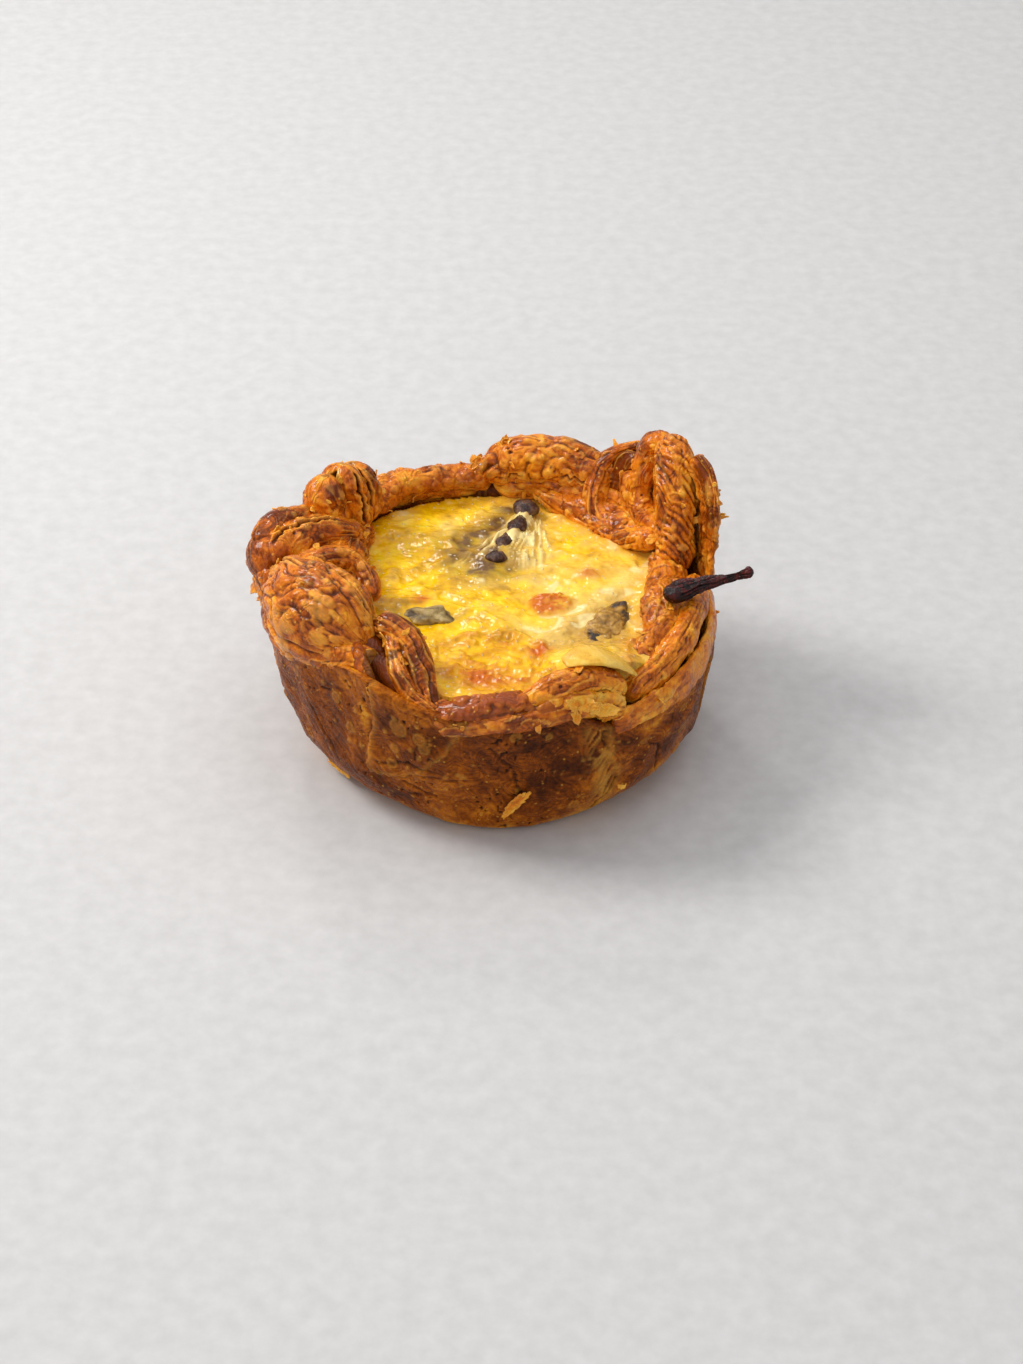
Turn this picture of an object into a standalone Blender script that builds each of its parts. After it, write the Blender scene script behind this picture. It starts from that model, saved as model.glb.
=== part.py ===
"""A small quiche in a case of laminated pastry.

The case is a cup of dough whose spare corners are folded over its rim, so the
rim is a ring of rolls, curls and ridges of very different heights. A set
custard fills the cup, with pieces of mushroom and a slice of onion in its
top, and a shrivelled stalk lies across the rim.

Metres, +Z up. The origin is the middle of the flat underside, on the axis of
the cup. Angles are in degrees round that axis, anticlockwise from +X seen
from above, and -Y is the low front of the rim.
"""

import math

import bmesh
import bpy
from mathutils import Vector, noise
from mathutils.bvhtree import BVHTree

MM = 0.001
UPWARDS = Vector((0, 0, 1))

# The cup, in millimetres.
BASE_RADIUS = 33.0
RIM_RADIUS = 45.2
WALL_HEIGHT = 31.0
WALL_CURVE = 0.33            # how fast the wall leaves the base: 1 is a cone
WALL_THICKNESS = 5.5
FLOOR_THICKNESS = 5.0
WALL_LEVELS = 9
WALL_STEPS = 65
LEVEL_SPACING = 1.6          # more than 1 sets the levels closer near the base
RIM_ROUNDING = 1.5           # how far the rim's crest stands above its inner edge
CREST_SHARE = 0.6            # how far in the crest is, in wall thicknesses
INSIDE_SHARES = (0.0, 0.25, 0.6, 1.0)
OUTSIDE_MARGIN = 1.0         # what lies nearer than this to the outside is outside

# The cup isn't round: how far its wall stands out from a circle, in
# millimetres, at each height and at every 45 degrees from +X.
CUP_PLAN = {
    0.0: (-0.8, -0.4, -1.2, -0.6, 1.7, -1.4, 1.6, -1.0),
    8.0: (0.3, -0.4, -1.5, -0.8, 2.0, 0.4, 0.3, 1.7),
    18.0: (-0.5, -0.5, -1.6, -0.8, 2.2, 0.6, 0.0, 1.0),
    31.0: (-1.7, -0.6, -1.7, -0.9, 2.4, 0.6, 0.0, -1.4),
}

# The wall ends lower on the right, where the outer sheet shows its top edge.
LOW_SIDE = -28.0
LOW_SIDE_SPREAD = 42.0
LOW_SIDE_DROP = 8.0
DROP_START = 16.0

# The outer sheet is laid round the cup in panels, each lapping the next.
PANEL_SEAMS = (-172.0, -126.0, -97.0, -62.0, -12.0, 38.0, 86.0, 140.0)
PANEL_STEP = 1.3
PANEL_MIDDLE = 0.4           # the share of the step that lies inside the wall
PANEL_FADE = 5.0             # below this height the panels melt together
SEAM_SPREAD = 7.0

# The custard, in millimetres. A mound of it fills the space behind the slice
# of onion.
CUSTARD_TOP = 30.6
CUSTARD_FRONT_RISE = 1.2     # how much higher it stands at the low front rim
CUSTARD_WAVE = 0.9
CUSTARD_WAVE_SIZE = 9.0
CUSTARD_STEPS = 40
CUSTARD_RINGS = (0.0, 0.25, 0.5, 0.7, 0.85, 0.96)
CUSTARD_LEVELS = (0.0, 0.35, 0.7, 0.88, 1.0)
MOUND_X = 18.0
MOUND_Y = -29.0
MOUND_RISE = 5.0
MOUND_SIZE = 7.0
VISIBLE_RADIUS = 34.0        # where the custard's top meets the folds
CLEARANCE = 0.45             # between the custard and all that touches it
LUMP_CLEARANCE = 1.15        # round a lump, whose sides slope steeply

# How the room for the custard is felt out inside the crust: turns in degrees
# to each side, and heights in millimetres below and above a level.
REACH_TURNS = (-5.0, -2.5, 0.0, 2.5, 5.0)
REACH_DOWN = 2.0
REACH_UP = 2.5
REACH_STEP = 0.8
REACH_ABOVE_TOP = 1.0

# How finely the folds are made, and how crumpled the pastry is.
FOLD_SIDES = 10
RINGS_PER_ROW = 2
STRIP_SIDES = 10
FOLD_RIDGES = 4
RIDGE_DEPTH = 0.06
RIDGE_TURN = 0.35            # how the ridges wind round a fold, in radians a ring
ROUND_END = (0.55, 0.88, 1.0)  # how full a fold is at its last rings
CRUMPLE = 0.5
CRUMPLE_SIZE = 6.0
FINE_CRUMPLE = 0.4           # the size and depth of the finer crumpling
CRUMPLE_SEED = 4
LUMP_UNEVENNESS = 0.4
LUMP_BUMPS = 1.7
SHARP_EDGE = 50.0

# Each fold of the rim: a row holds the angle, the distance from the axis, the
# height, half the width across the fold and half the thickness of the fold,
# all lengths in millimetres. "facing" is the way that the thickness lies: up,
# out from the axis or, for "over", up and in towards the axis.
FOLDS = {
    "back_left_lobe_outer": dict(facing="out", rows=(
        (151.0, 40.0, 31.0, 4.4, 5.0), (151.0, 40.5, 37.0, 4.8, 5.6),
        (150.5, 40.8, 42.5, 4.6, 5.2), (149.5, 41.0, 46.4, 3.5, 4.0))),
    "back_left_lobe_middle": dict(facing="out", rows=(
        (143.5, 39.5, 31.0, 3.6, 5.6), (143.5, 39.5, 37.5, 3.8, 6.2),
        (143.5, 39.8, 43.5, 3.4, 5.4), (143.5, 40.2, 47.2, 2.4, 4.0))),
    "back_left_lobe_inner": dict(facing="out", rows=(
        (136.5, 40.0, 31.0, 4.2, 5.0), (137.0, 40.0, 36.5, 4.3, 5.8),
        (137.5, 40.3, 42.0, 3.8, 5.2), (138.5, 40.8, 45.4, 2.6, 4.0))),
    "back_left_neck": dict(facing="out", rows=(
        (133.0, 40.5, 32.6, 3.6, 3.4), (127.0, 40.8, 33.8, 3.4, 3.4),
        (120.0, 41.2, 33.8, 3.0, 3.2))),
    "back_low_rim": dict(facing="out", rows=(
        (133.0, 41.5, 33.4, 2.8, 3.0), (122.0, 41.6, 35.0, 3.0, 3.4),
        (108.0, 41.7, 33.9, 2.9, 3.4), (92.0, 41.8, 32.6, 2.6, 3.2))),
    "back_bump": dict(facing="out", rows=(
        (95.0, 41.2, 33.2, 3.2, 3.2), (88.0, 41.2, 37.0, 4.6, 4.4),
        (80.0, 40.8, 39.0, 5.4, 5.2), (71.0, 40.8, 38.6, 5.4, 5.0),
        (63.0, 41.2, 37.8, 5.0, 4.4), (56.0, 42.0, 37.2, 4.4, 3.4),
        (50.0, 42.6, 37.0, 3.6, 2.4))),
    "back_bump_filling": dict(facing="out", rows=(
        (92.0, 41.0, 32.6, 3.6, 3.4), (76.0, 40.4, 33.0, 4.4, 4.2),
        (60.0, 40.2, 32.8, 4.4, 4.2), (44.0, 40.4, 32.6, 4.2, 4.0))),
    "back_inner_ridge": dict(facing="out", rows=(
        (79.0, 38.0, 32.6, 2.4, 2.6), (72.0, 36.4, 31.6, 2.8, 2.8),
        (62.0, 34.4, 30.4, 2.8, 3.0), (51.0, 33.2, 29.9, 2.8, 3.2),
        (40.0, 32.8, 31.0, 2.8, 3.2), (30.0, 33.4, 33.4, 2.8, 3.0),
        (22.0, 35.4, 35.6, 2.6, 2.6))),
    "back_ridge_filling": dict(facing="out", rows=(
        (72.0, 38.5, 31.0, 4.4, 4.6), (57.0, 37.2, 30.6, 4.8, 5.4),
        (42.0, 36.6, 30.8, 5.0, 6.0), (26.0, 37.6, 31.0, 4.8, 5.4))),
    "twist_curl": dict(facing="out", rows=(
        (47.5, 43.4, 47.2, 0.9, 1.2), (54.5, 43.0, 43.8, 1.3, 1.8),
        (57.6, 41.6, 41.0, 2.1, 2.6), (58.0, 39.8, 38.0, 2.7, 3.0),
        (57.0, 37.8, 35.2, 2.9, 3.3), (54.2, 36.0, 32.6, 3.1, 3.4),
        (49.0, 34.9, 31.2, 3.2, 3.6), (43.0, 34.8, 32.0, 3.1, 3.4),
        (39.0, 35.4, 34.6, 2.6, 2.8))),
    "twist_back": dict(facing="out", rows=(
        (52.0, 41.6, 32.0, 5.4, 3.2), (50.5, 41.8, 37.0, 5.6, 2.8),
        (49.0, 42.0, 41.5, 4.6, 2.2), (46.5, 42.6, 45.0, 3.0, 1.8))),
    "twist_web": dict(facing="out", rows=(
        (45.5, 39.4, 43.0, 2.8, 1.6), (44.0, 38.2, 40.0, 3.4, 2.0),
        (40.0, 37.2, 37.0, 3.6, 2.4), (35.0, 36.8, 34.0, 3.6, 2.8))),
    "tall_left_ridge": dict(facing="out", rows=(
        (36.0, 43.0, 52.4, 2.2, 2.2), (41.2, 42.0, 50.0, 2.4, 2.4),
        (42.3, 41.0, 46.8, 2.5, 2.6), (41.5, 39.8, 43.6, 2.6, 2.8),
        (41.5, 38.8, 40.0, 2.8, 3.0), (38.5, 38.0, 36.8, 3.0, 3.2),
        (31.0, 37.3, 34.8, 3.0, 3.0), (22.0, 37.0, 33.0, 2.8, 2.8))),
    "tall_filling": dict(facing="out", rows=(
        (30.0, 41.2, 34.0, 4.4, 3.0), (33.0, 41.6, 40.0, 4.6, 3.0),
        (35.0, 42.0, 45.6, 4.2, 2.6), (36.5, 42.6, 49.6, 2.8, 2.0))),
    "tall_roll": dict(facing="out", rows=(
        (12.5, 37.4, 30.6, 4.8, 3.8), (16.5, 37.6, 34.4, 5.2, 4.0),
        (19.5, 38.0, 38.6, 5.3, 4.0), (22.3, 38.9, 43.0, 5.3, 4.2),
        (25.0, 40.0, 46.8, 5.3, 4.4), (29.0, 41.0, 49.6, 5.3, 4.4),
        (33.0, 41.8, 51.6, 4.8, 3.8), (37.0, 42.6, 52.8, 3.0, 2.6))),
    "tall_outer_sheet": dict(facing="out", rows=(
        (11.0, 42.4, 27.0, 5.0, 1.2), (13.0, 42.8, 31.0, 6.6, 1.4),
        (15.5, 43.2, 36.0, 7.8, 1.5), (17.0, 43.4, 41.0, 8.4, 1.5),
        (18.5, 43.4, 46.0, 8.6, 1.6), (20.5, 43.3, 50.4, 8.4, 1.8),
        (24.0, 42.9, 53.2, 7.2, 2.0))),
    "right_fold_over": dict(facing="out", rows=(
        (22.0, 36.0, 31.2, 3.0, 3.4), (11.0, 34.8, 31.7, 3.2, 4.0),
        (0.0, 33.9, 32.1, 3.2, 4.6), (-10.0, 33.6, 32.3, 3.2, 4.8),
        (-19.0, 34.2, 32.2, 3.1, 4.4), (-27.0, 35.6, 31.5, 3.0, 3.6))),
    "right_roll": dict(facing="out", rows=(
        (4.0, 39.2, 31.4, 3.4, 2.2), (-7.0, 39.0, 32.0, 3.6, 2.4),
        (-18.0, 38.9, 31.6, 3.7, 2.6), (-28.0, 38.8, 30.2, 3.7, 2.7),
        (-37.0, 38.7, 29.2, 3.7, 2.8), (-46.0, 38.8, 28.2, 3.4, 2.7),
        (-52.0, 39.6, 27.0, 2.8, 2.3))),
    "right_inner_ridge": dict(facing="out", rows=(
        (-14.0, 36.6, 32.2, 2.4, 2.4), (-22.0, 36.0, 32.4, 2.7, 2.6),
        (-30.0, 35.3, 31.6, 2.9, 2.9), (-37.0, 35.4, 30.4, 3.0, 3.1),
        (-45.0, 36.6, 29.0, 2.6, 2.7))),
    "right_outer_wall": dict(facing="out", rows=(
        (8.0, 42.7, 26.6, 3.6, 1.1), (-6.0, 42.7, 25.6, 3.8, 1.1),
        (-20.0, 42.7, 25.0, 3.8, 1.1), (-34.0, 42.8, 24.8, 3.6, 1.1),
        (-48.0, 43.1, 24.8, 3.2, 1.1), (-60.0, 43.6, 25.6, 2.8, 1.1))),
    "front_right_fold": dict(facing="out", rows=(
        (-84.0, 41.2, 32.6, 2.2, 2.4), (-77.0, 40.8, 34.8, 2.8, 2.8),
        (-69.0, 40.6, 35.8, 3.0, 3.0), (-61.0, 40.6, 34.2, 3.0, 3.0),
        (-54.0, 41.2, 30.6, 2.8, 2.8))),
    "front_right_face": dict(facing="out", rows=(
        (-79.0, 42.6, 32.4, 2.4, 2.0), (-71.0, 42.8, 33.0, 3.2, 2.4),
        (-63.0, 42.8, 31.2, 3.4, 2.4), (-56.0, 42.8, 28.2, 2.8, 2.0))),
    "front_low_rim": dict(facing="out", rows=(
        (-108.0, 42.4, 29.6, 2.4, 2.6), (-98.0, 42.0, 31.6, 2.8, 3.0),
        (-88.0, 41.6, 32.4, 2.8, 3.2), (-78.0, 41.6, 32.6, 2.6, 3.0),
        (-69.0, 41.6, 31.8, 2.6, 2.8))),
    "front_outer_lip": dict(facing="out", rows=(
        (-105.0, 44.2, 28.4, 1.6, 1.2), (-97.0, 44.6, 29.8, 1.9, 1.4),
        (-87.0, 44.8, 30.8, 1.9, 1.4), (-77.0, 44.6, 31.4, 1.9, 1.4),
        (-67.0, 44.0, 31.4, 1.7, 1.2))),
    "rim_flake": dict(facing="out", rows=(
        (-73.0, 44.4, 31.2, 0.8, 0.7), (-68.0, 45.0, 33.0, 2.0, 0.8),
        (-62.5, 44.8, 32.9, 2.1, 0.8), (-58.0, 44.3, 31.4, 1.0, 0.6))),
    "front_left_curl": dict(facing="out", rows=(
        (-135.0, 33.4, 39.2, 2.6, 2.6), (-128.0, 33.0, 40.2, 3.0, 3.0),
        (-121.0, 33.6, 38.8, 3.2, 3.2), (-115.5, 35.8, 35.8, 3.3, 3.3),
        (-112.0, 38.6, 32.8, 3.2, 3.0), (-108.0, 41.4, 30.4, 2.8, 2.6),
        (-102.0, 43.2, 28.8, 2.0, 1.8))),
    "front_left_filling": dict(facing="out", rows=(
        (-142.0, 37.6, 32.0, 5.4, 5.0), (-131.0, 37.2, 33.0, 6.0, 5.2),
        (-120.0, 38.4, 30.6, 5.2, 4.8), (-110.0, 40.4, 27.6, 3.6, 3.6))),
    "front_left_hood": dict(facing="out", rows=(
        (-118.5, 44.2, 29.0, 2.4, 1.4), (-122.5, 44.4, 34.0, 2.8, 1.5),
        (-125.0, 43.6, 38.2, 2.8, 1.6), (-124.5, 41.4, 40.6, 2.4, 1.7),
        (-121.0, 38.8, 40.9, 2.1, 1.8), (-117.5, 37.0, 39.4, 1.8, 1.7))),
    "left_bulb": dict(facing="out", rows=(
        (-174.0, 43.2, 36.0, 4.6, 3.8), (-166.5, 42.0, 37.4, 8.0, 6.4),
        (-159.0, 40.6, 38.2, 10.0, 8.6), (-151.5, 39.4, 38.4, 10.6, 9.4),
        (-144.0, 38.2, 38.0, 9.8, 8.8), (-137.0, 37.2, 36.8, 7.2, 6.8),
        (-131.0, 36.6, 35.6, 4.4, 4.6))),
    "left_bulb_lip": dict(facing="out", rows=(
        (-173.0, 45.4, 33.2, 2.2, 2.0), (-165.0, 46.0, 32.4, 3.0, 2.4),
        (-156.0, 45.4, 32.4, 3.4, 2.6), (-146.0, 44.2, 33.8, 3.4, 2.6),
        (-136.0, 42.4, 35.6, 3.4, 2.8), (-128.5, 40.0, 37.6, 3.0, 2.8),
        (-124.0, 37.2, 39.2, 2.4, 2.4))),
    "left_roll": dict(facing="up", rows=(
        (180.0, 45.2, 33.8, 4.2, 4.2), (174.0, 45.6, 37.0, 5.8, 5.6),
        (166.0, 41.6, 37.6, 5.4, 5.0), (157.0, 37.2, 36.2, 4.8, 4.2),
        (150.5, 34.2, 34.4, 3.6, 3.2), (147.0, 32.8, 33.2, 2.4, 2.4))),
    "left_roll_top": dict(facing="up", rows=(
        (176.0, 48.6, 40.6, 2.4, 1.9), (166.5, 46.0, 41.6, 2.8, 2.2),
        (158.0, 41.6, 39.8, 2.8, 2.2), (153.0, 38.4, 38.2, 2.2, 1.8))),
    "left_roll_outer": dict(facing="out", rows=(
        (188.0, 44.2, 30.6, 3.0, 2.2), (181.0, 45.6, 33.0, 4.4, 3.2),
        (173.5, 47.0, 35.6, 4.2, 3.4))),
    "left_roll_hood": dict(facing="up", rows=(
        (185.0, 44.8, 34.6, 2.6, 2.4), (185.0, 41.4, 37.8, 3.0, 2.8),
        (184.0, 36.6, 40.4, 3.2, 3.0), (181.0, 31.8, 40.0, 3.0, 2.8),
        (181.5, 28.4, 38.0, 2.6, 2.6), (189.0, 26.2, 36.2, 2.4, 2.4),
        (198.0, 26.4, 34.8, 2.0, 2.0))),
    "left_inner_base": dict(facing="out", rows=(
        (138.0, 38.0, 31.2, 4.0, 4.0), (151.0, 35.8, 31.6, 4.2, 5.0),
        (164.0, 33.8, 32.6, 5.0, 6.0), (178.0, 33.0, 33.4, 5.6, 6.8),
        (192.0, 33.2, 33.6, 5.6, 6.8), (206.0, 34.2, 33.0, 5.2, 6.4),
        (219.0, 36.4, 32.0, 4.6, 5.0))),
}

# The pieces in the custard's top, as lumps: centre, half sizes and turn.
LUMPS = {
    "mushroom_left": dict(centre=(-13.8, -8.2, 30.9), size=(5.4, 2.9, 1.7), turn=-4.0),
    "mushroom_right": dict(centre=(21.3, -10.8, 31.0), size=(8.2, 3.9, 1.9), turn=57.0),
}

# The mushroom at the back, the slice of onion on the front right fold and the
# stalk across the rim: rows as for the folds.
STRIPS = {
    "mushroom_back": dict(facing="up", rows=(
        (79.5, 34.0, 31.6, 1.6, 1.3), (80.0, 31.0, 31.6, 2.8, 1.9),
        (81.5, 26.0, 31.2, 2.4, 1.6), (85.0, 20.0, 30.9, 2.0, 1.4),
        (90.0, 15.0, 30.8, 2.2, 1.5), (93.0, 12.0, 30.6, 1.4, 1.1))),
    "onion_slice": dict(facing="over", rows=(
        (-71.0, 37.4, 39.2, 1.2, 0.5), (-66.0, 37.2, 39.4, 2.6, 0.8),
        (-60.0, 37.2, 38.4, 3.2, 0.9), (-54.5, 37.6, 35.8, 2.8, 0.9),
        (-50.5, 38.4, 33.4, 1.6, 0.7), (-48.5, 38.8, 32.2, 0.8, 0.5))),
    "stalk": dict(facing="up", rows=(
        (-17.5, 34.2, 37.4, 1.8, 1.6), (-14.2, 36.6, 37.6, 2.3, 2.0),
        (-12.5, 39.2, 38.2, 2.2, 1.8), (-12.0, 41.8, 39.2, 1.6, 1.4),
        (-11.8, 44.4, 40.2, 1.0, 1.0), (-12.0, 47.2, 41.5, 0.8, 0.8),
        (-12.4, 49.8, 42.9, 0.9, 0.9), (-12.6, 51.2, 43.6, 1.2, 1.2))),
}
SUNK_STRIPS = ("mushroom_back", "onion_slice")


def polar(angle, radius, height):
    """The point at an angle round the axis, lengths in millimetres."""
    turn = math.radians(angle)
    return Vector((radius * math.cos(turn), radius * math.sin(turn), height)) * MM


def spline(rows, samples):
    """Rows read at even steps along a smooth curve through the given rows."""
    last = len(rows) - 1
    result = []
    for sample in range(samples):
        place = last * sample / (samples - 1)
        left = min(int(place), last - 1)
        t = place - left
        before, here = rows[max(left - 1, 0)], rows[left]
        there, after = rows[left + 1], rows[min(left + 2, last)]
        result.append(tuple(
            0.5 * (2 * b + (c - a) * t + (2 * a - 5 * b + 4 * c - d) * t * t
                   + (3 * b - a - 3 * c + d) * t ** 3)
            for a, b, c, d in zip(before, here, there, after)))
    return result


def crumple(point):
    """How far a point of the pastry is pushed by its crumpled surface."""
    coarse = noise.noise_vector(point / (CRUMPLE_SIZE * MM))
    fine = noise.noise_vector(point / (FINE_CRUMPLE * CRUMPLE_SIZE * MM))
    return (coarse + FINE_CRUMPLE * fine) * CRUMPLE * MM


def new_object(name, mesh, collection):
    thing = bpy.data.objects.new(name, mesh)
    collection.objects.link(thing)
    return thing


def mesh_from(name, shape):
    """Close a bmesh, turn its faces outwards and make it a mesh."""
    bmesh.ops.recalc_face_normals(shape, faces=shape.faces)
    mesh = bpy.data.meshes.new(name)
    shape.to_mesh(mesh)
    shape.free()
    return mesh


def fold_mesh(name, rows, facing, grow=0.0, sides=FOLD_SIDES):
    """A lofted strip of rolled dough with round ends and shallow ridges."""
    samples = RINGS_PER_ROW * (len(rows) - 1) + 1
    stations = spline(rows, samples)
    centres = [polar(*row[:3]) for row in stations]
    shape = bmesh.new()
    rings = []
    for i, row in enumerate(stations):
        along = (centres[min(i + 1, samples - 1)] - centres[max(i - 1, 0)]).normalized()
        outwards = polar(row[0], 1, 0).normalized()
        towards = {"up": UPWARDS, "out": outwards, "over": UPWARDS - outwards}[facing]
        across = along.cross(towards).normalized()
        towards = across.cross(along)
        end = min(i, samples - 1 - i)
        closing = ROUND_END[min(end, len(ROUND_END) - 1)]
        push = along * (-1 if i < samples / 2 else 1) * (MM * grow if end == 0 else 0)
        ring = []
        for k in range(sides):
            turn = 2 * math.pi * k / sides
            ridge = 1 + RIDGE_DEPTH * math.cos(FOLD_RIDGES * turn + RIDGE_TURN * i)
            wide = (row[3] * closing * ridge + grow) * MM
            thick = (row[4] * closing * ridge + grow) * MM
            point = centres[i] + across * wide * math.cos(turn) + towards * thick * math.sin(turn)
            ring.append(shape.verts.new(point + push + crumple(point)))
        rings.append([shape.edges.new((ring[k - 1], ring[k])) for k in range(sides)])
    for lower, upper in zip(rings, rings[1:]):
        bmesh.ops.bridge_loops(shape, edges=lower + upper)
    for ring in (rings[0], rings[-1]):
        bmesh.ops.holes_fill(shape, edges=ring, sides=0)
    return mesh_from(name, shape)


def outer_radius(height):
    """The cup's outside radius at a height, both in millimetres."""
    share = min(max(height / WALL_HEIGHT, 0.0), 1.0)
    return BASE_RADIUS + (RIM_RADIUS - BASE_RADIUS) * share ** WALL_CURVE


def turned(name, profile, steps, collection):
    """A solid turned round the axis from (radius, height) pairs in mm.

    The profile starts and ends on the axis and runs down its outer side.
    """
    mesh = bpy.data.meshes.new(name)
    points = [(radius * MM, 0, height * MM) for radius, height in profile]
    mesh.from_pydata(points, [(i, i + 1) for i in range(len(points) - 1)], [])
    thing = new_object(name, mesh, collection)
    screw = thing.modifiers.new("turn", "SCREW")
    screw.steps = screw.render_steps = steps
    screw.use_merge_vertices = True
    screw.merge_threshold = 0.00001
    solid = applied(thing)
    thing.data = solid
    return thing


def applied(thing):
    """The object's evaluated mesh, with its modifiers cleared."""
    bpy.context.view_layer.update()
    graph = bpy.context.evaluated_depsgraph_get()
    mesh = bpy.data.meshes.new_from_object(thing.evaluated_get(graph))
    thing.modifiers.clear()
    mesh.name = thing.name
    return mesh


def combine(thing, operation, collection):
    """One Boolean with every object of a collection, which is then removed."""
    cut = thing.modifiers.new("join", "BOOLEAN")
    cut.operation = operation
    cut.operand_type = "COLLECTION"
    cut.collection = collection
    thing.data = applied(thing)
    for piece in list(collection.objects):
        bpy.data.objects.remove(piece)
    bpy.data.collections.remove(collection)


def keep_largest(thing):
    """Drop the scraps that a Boolean leaves, and split its faces in triangles."""
    shape = bmesh.new()
    shape.from_mesh(thing.data)
    bmesh.ops.remove_doubles(shape, verts=shape.verts, dist=0.00001)
    left = set(shape.faces)
    bodies = []
    while left:
        body, rim = [], [left.pop()]
        while rim:
            face = rim.pop()
            body.append(face)
            for edge in face.edges:
                for other in edge.link_faces if len(edge.link_faces) == 2 else ():
                    if other in left:
                        left.discard(other)
                        rim.append(other)
        bodies.append(body)
    bodies.sort(key=len)
    scraps = [face for body in bodies[:-1] for face in body]
    bmesh.ops.delete(shape, geom=scraps, context="FACES")
    bmesh.ops.triangulate(shape, faces=shape.faces)
    shape.to_mesh(thing.data)
    shape.free()


def material(name, colour, roughness):
    finish = bpy.data.materials.new(name)
    finish.use_nodes = True
    shader = finish.node_tree.nodes["Principled BSDF"]
    shader.inputs["Base Color"].default_value = (*colour, 1.0)
    shader.inputs["Roughness"].default_value = roughness
    shader.inputs["Metallic"].default_value = 0.0
    return finish


def panel_offset(angle):
    """How proud the lapped outer sheet stands at an angle, in millimetres."""
    for i, start in enumerate(PANEL_SEAMS):
        end = PANEL_SEAMS[(i + 1) % len(PANEL_SEAMS)]
        width = (end - start) % 360.0
        place = (angle - start) % 360.0
        if place < width:
            rise = min(place / SEAM_SPREAD, 1.0)
            fall = 1.0 - place / width
            return PANEL_STEP * (rise * fall - PANEL_MIDDLE)
    return 0.0


def plan_offset(angle, height):
    """How far the cup's wall stands out from a circle, in millimetres."""
    corner = (angle % 360.0) / 45.0
    first = int(corner)
    part = 0.5 - 0.5 * math.cos(math.pi * (corner - first))
    heights = sorted(CUP_PLAN)
    offsets = []
    for level in heights:
        plan = CUP_PLAN[level]
        offsets.append(plan[first % 8] * (1 - part) + plan[(first + 1) % 8] * part)
    for low, high, below, above in zip(heights, heights[1:], offsets, offsets[1:]):
        if height <= high:
            share = (height - low) / (high - low)
            return below * (1 - share) + above * share
    return offsets[-1]


def rim_drop(angle):
    """How much lower the wall ends on the right, in millimetres."""
    away = abs((angle - LOW_SIDE + 180.0) % 360.0 - 180.0) / LOW_SIDE_SPREAD
    return LOW_SIDE_DROP * max(0.0, 1.0 - away ** 4)


def cup(collection):
    """The cup of dough, its wall lapped in panels and slightly uneven."""
    rise = WALL_HEIGHT - RIM_ROUNDING - FLOOR_THICKNESS
    levels = [FLOOR_THICKNESS + rise * share for share in INSIDE_SHARES]
    inside = [(outer_radius(level) - WALL_THICKNESS, level) for level in levels]
    rim = [(outer_radius(WALL_HEIGHT) - CREST_SHARE * WALL_THICKNESS, WALL_HEIGHT)]
    shares = [(i / WALL_LEVELS) ** LEVEL_SPACING for i in range(WALL_LEVELS + 1)]
    outside = [(outer_radius(WALL_HEIGHT * s), WALL_HEIGHT * s) for s in shares]
    profile = [(0.0, FLOOR_THICKNESS)] + inside + rim + outside[::-1] + [(0.0, 0.0)]
    thing = turned("crust", profile, WALL_STEPS, collection)
    for vert in thing.data.vertices:
        radius = math.hypot(vert.co.x, vert.co.y) / MM
        height = vert.co.z / MM
        if radius == 0:
            continue
        angle = math.degrees(math.atan2(vert.co.y, vert.co.x))
        away = Vector((vert.co.x, vert.co.y, 0)).normalized()
        push = plan_offset(angle, height)
        if radius > outer_radius(height) - OUTSIDE_MARGIN and height > 0:
            push += panel_offset(angle) * min(height / PANEL_FADE, 1.0)
            push += crumple(vert.co).dot(away) / MM
        vert.co += away * push * MM
        high = max(0.0, (height - DROP_START) / (WALL_HEIGHT - DROP_START))
        vert.co.z -= rim_drop(angle) * high * MM
    return thing


def build_crust(collection):
    folds = bpy.data.collections.new("folds")
    bpy.context.scene.collection.children.link(folds)
    for name, fold in FOLDS.items():
        new_object(name, fold_mesh(name, **fold), folds)
    crust = cup(collection)
    combine(crust, "UNION", folds)
    keep_largest(crust)
    return crust


def lump(name, centre, size, turn, collection, grow=0.0):
    """A rounded, uneven piece: half sizes in mm, turned about the upright."""
    shape = bmesh.new()
    bmesh.ops.create_icosphere(shape, subdivisions=3, radius=1.0)
    cosine, sine = math.cos(math.radians(turn)), math.sin(math.radians(turn))
    for vert in shape.verts:
        swell = 1 + LUMP_UNEVENNESS * noise.noise(vert.co * LUMP_BUMPS + Vector(centre))
        x, y, z = (vert.co[i] * (size[i] * swell + grow) for i in range(3))
        vert.co = (Vector((x * cosine - y * sine, x * sine + y * cosine, z)) + Vector(centre)) * MM
    return new_object(name, mesh_from(name, shape), collection)


def reach(tree, angle, low, high):
    """The least room from the axis to the crust between two heights."""
    least = RIM_RADIUS
    levels = math.ceil((high - low) / REACH_STEP)
    for turn in REACH_TURNS:
        away = polar(angle + turn, 1, 0).normalized()
        for i in range(levels + 1):
            start = Vector((0, 0, (low + (high - low) * i / levels) * MM))
            found = tree.ray_cast(start, away)
            if found[3] is not None:
                least = min(least, found[3] / MM)
    return least


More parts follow.
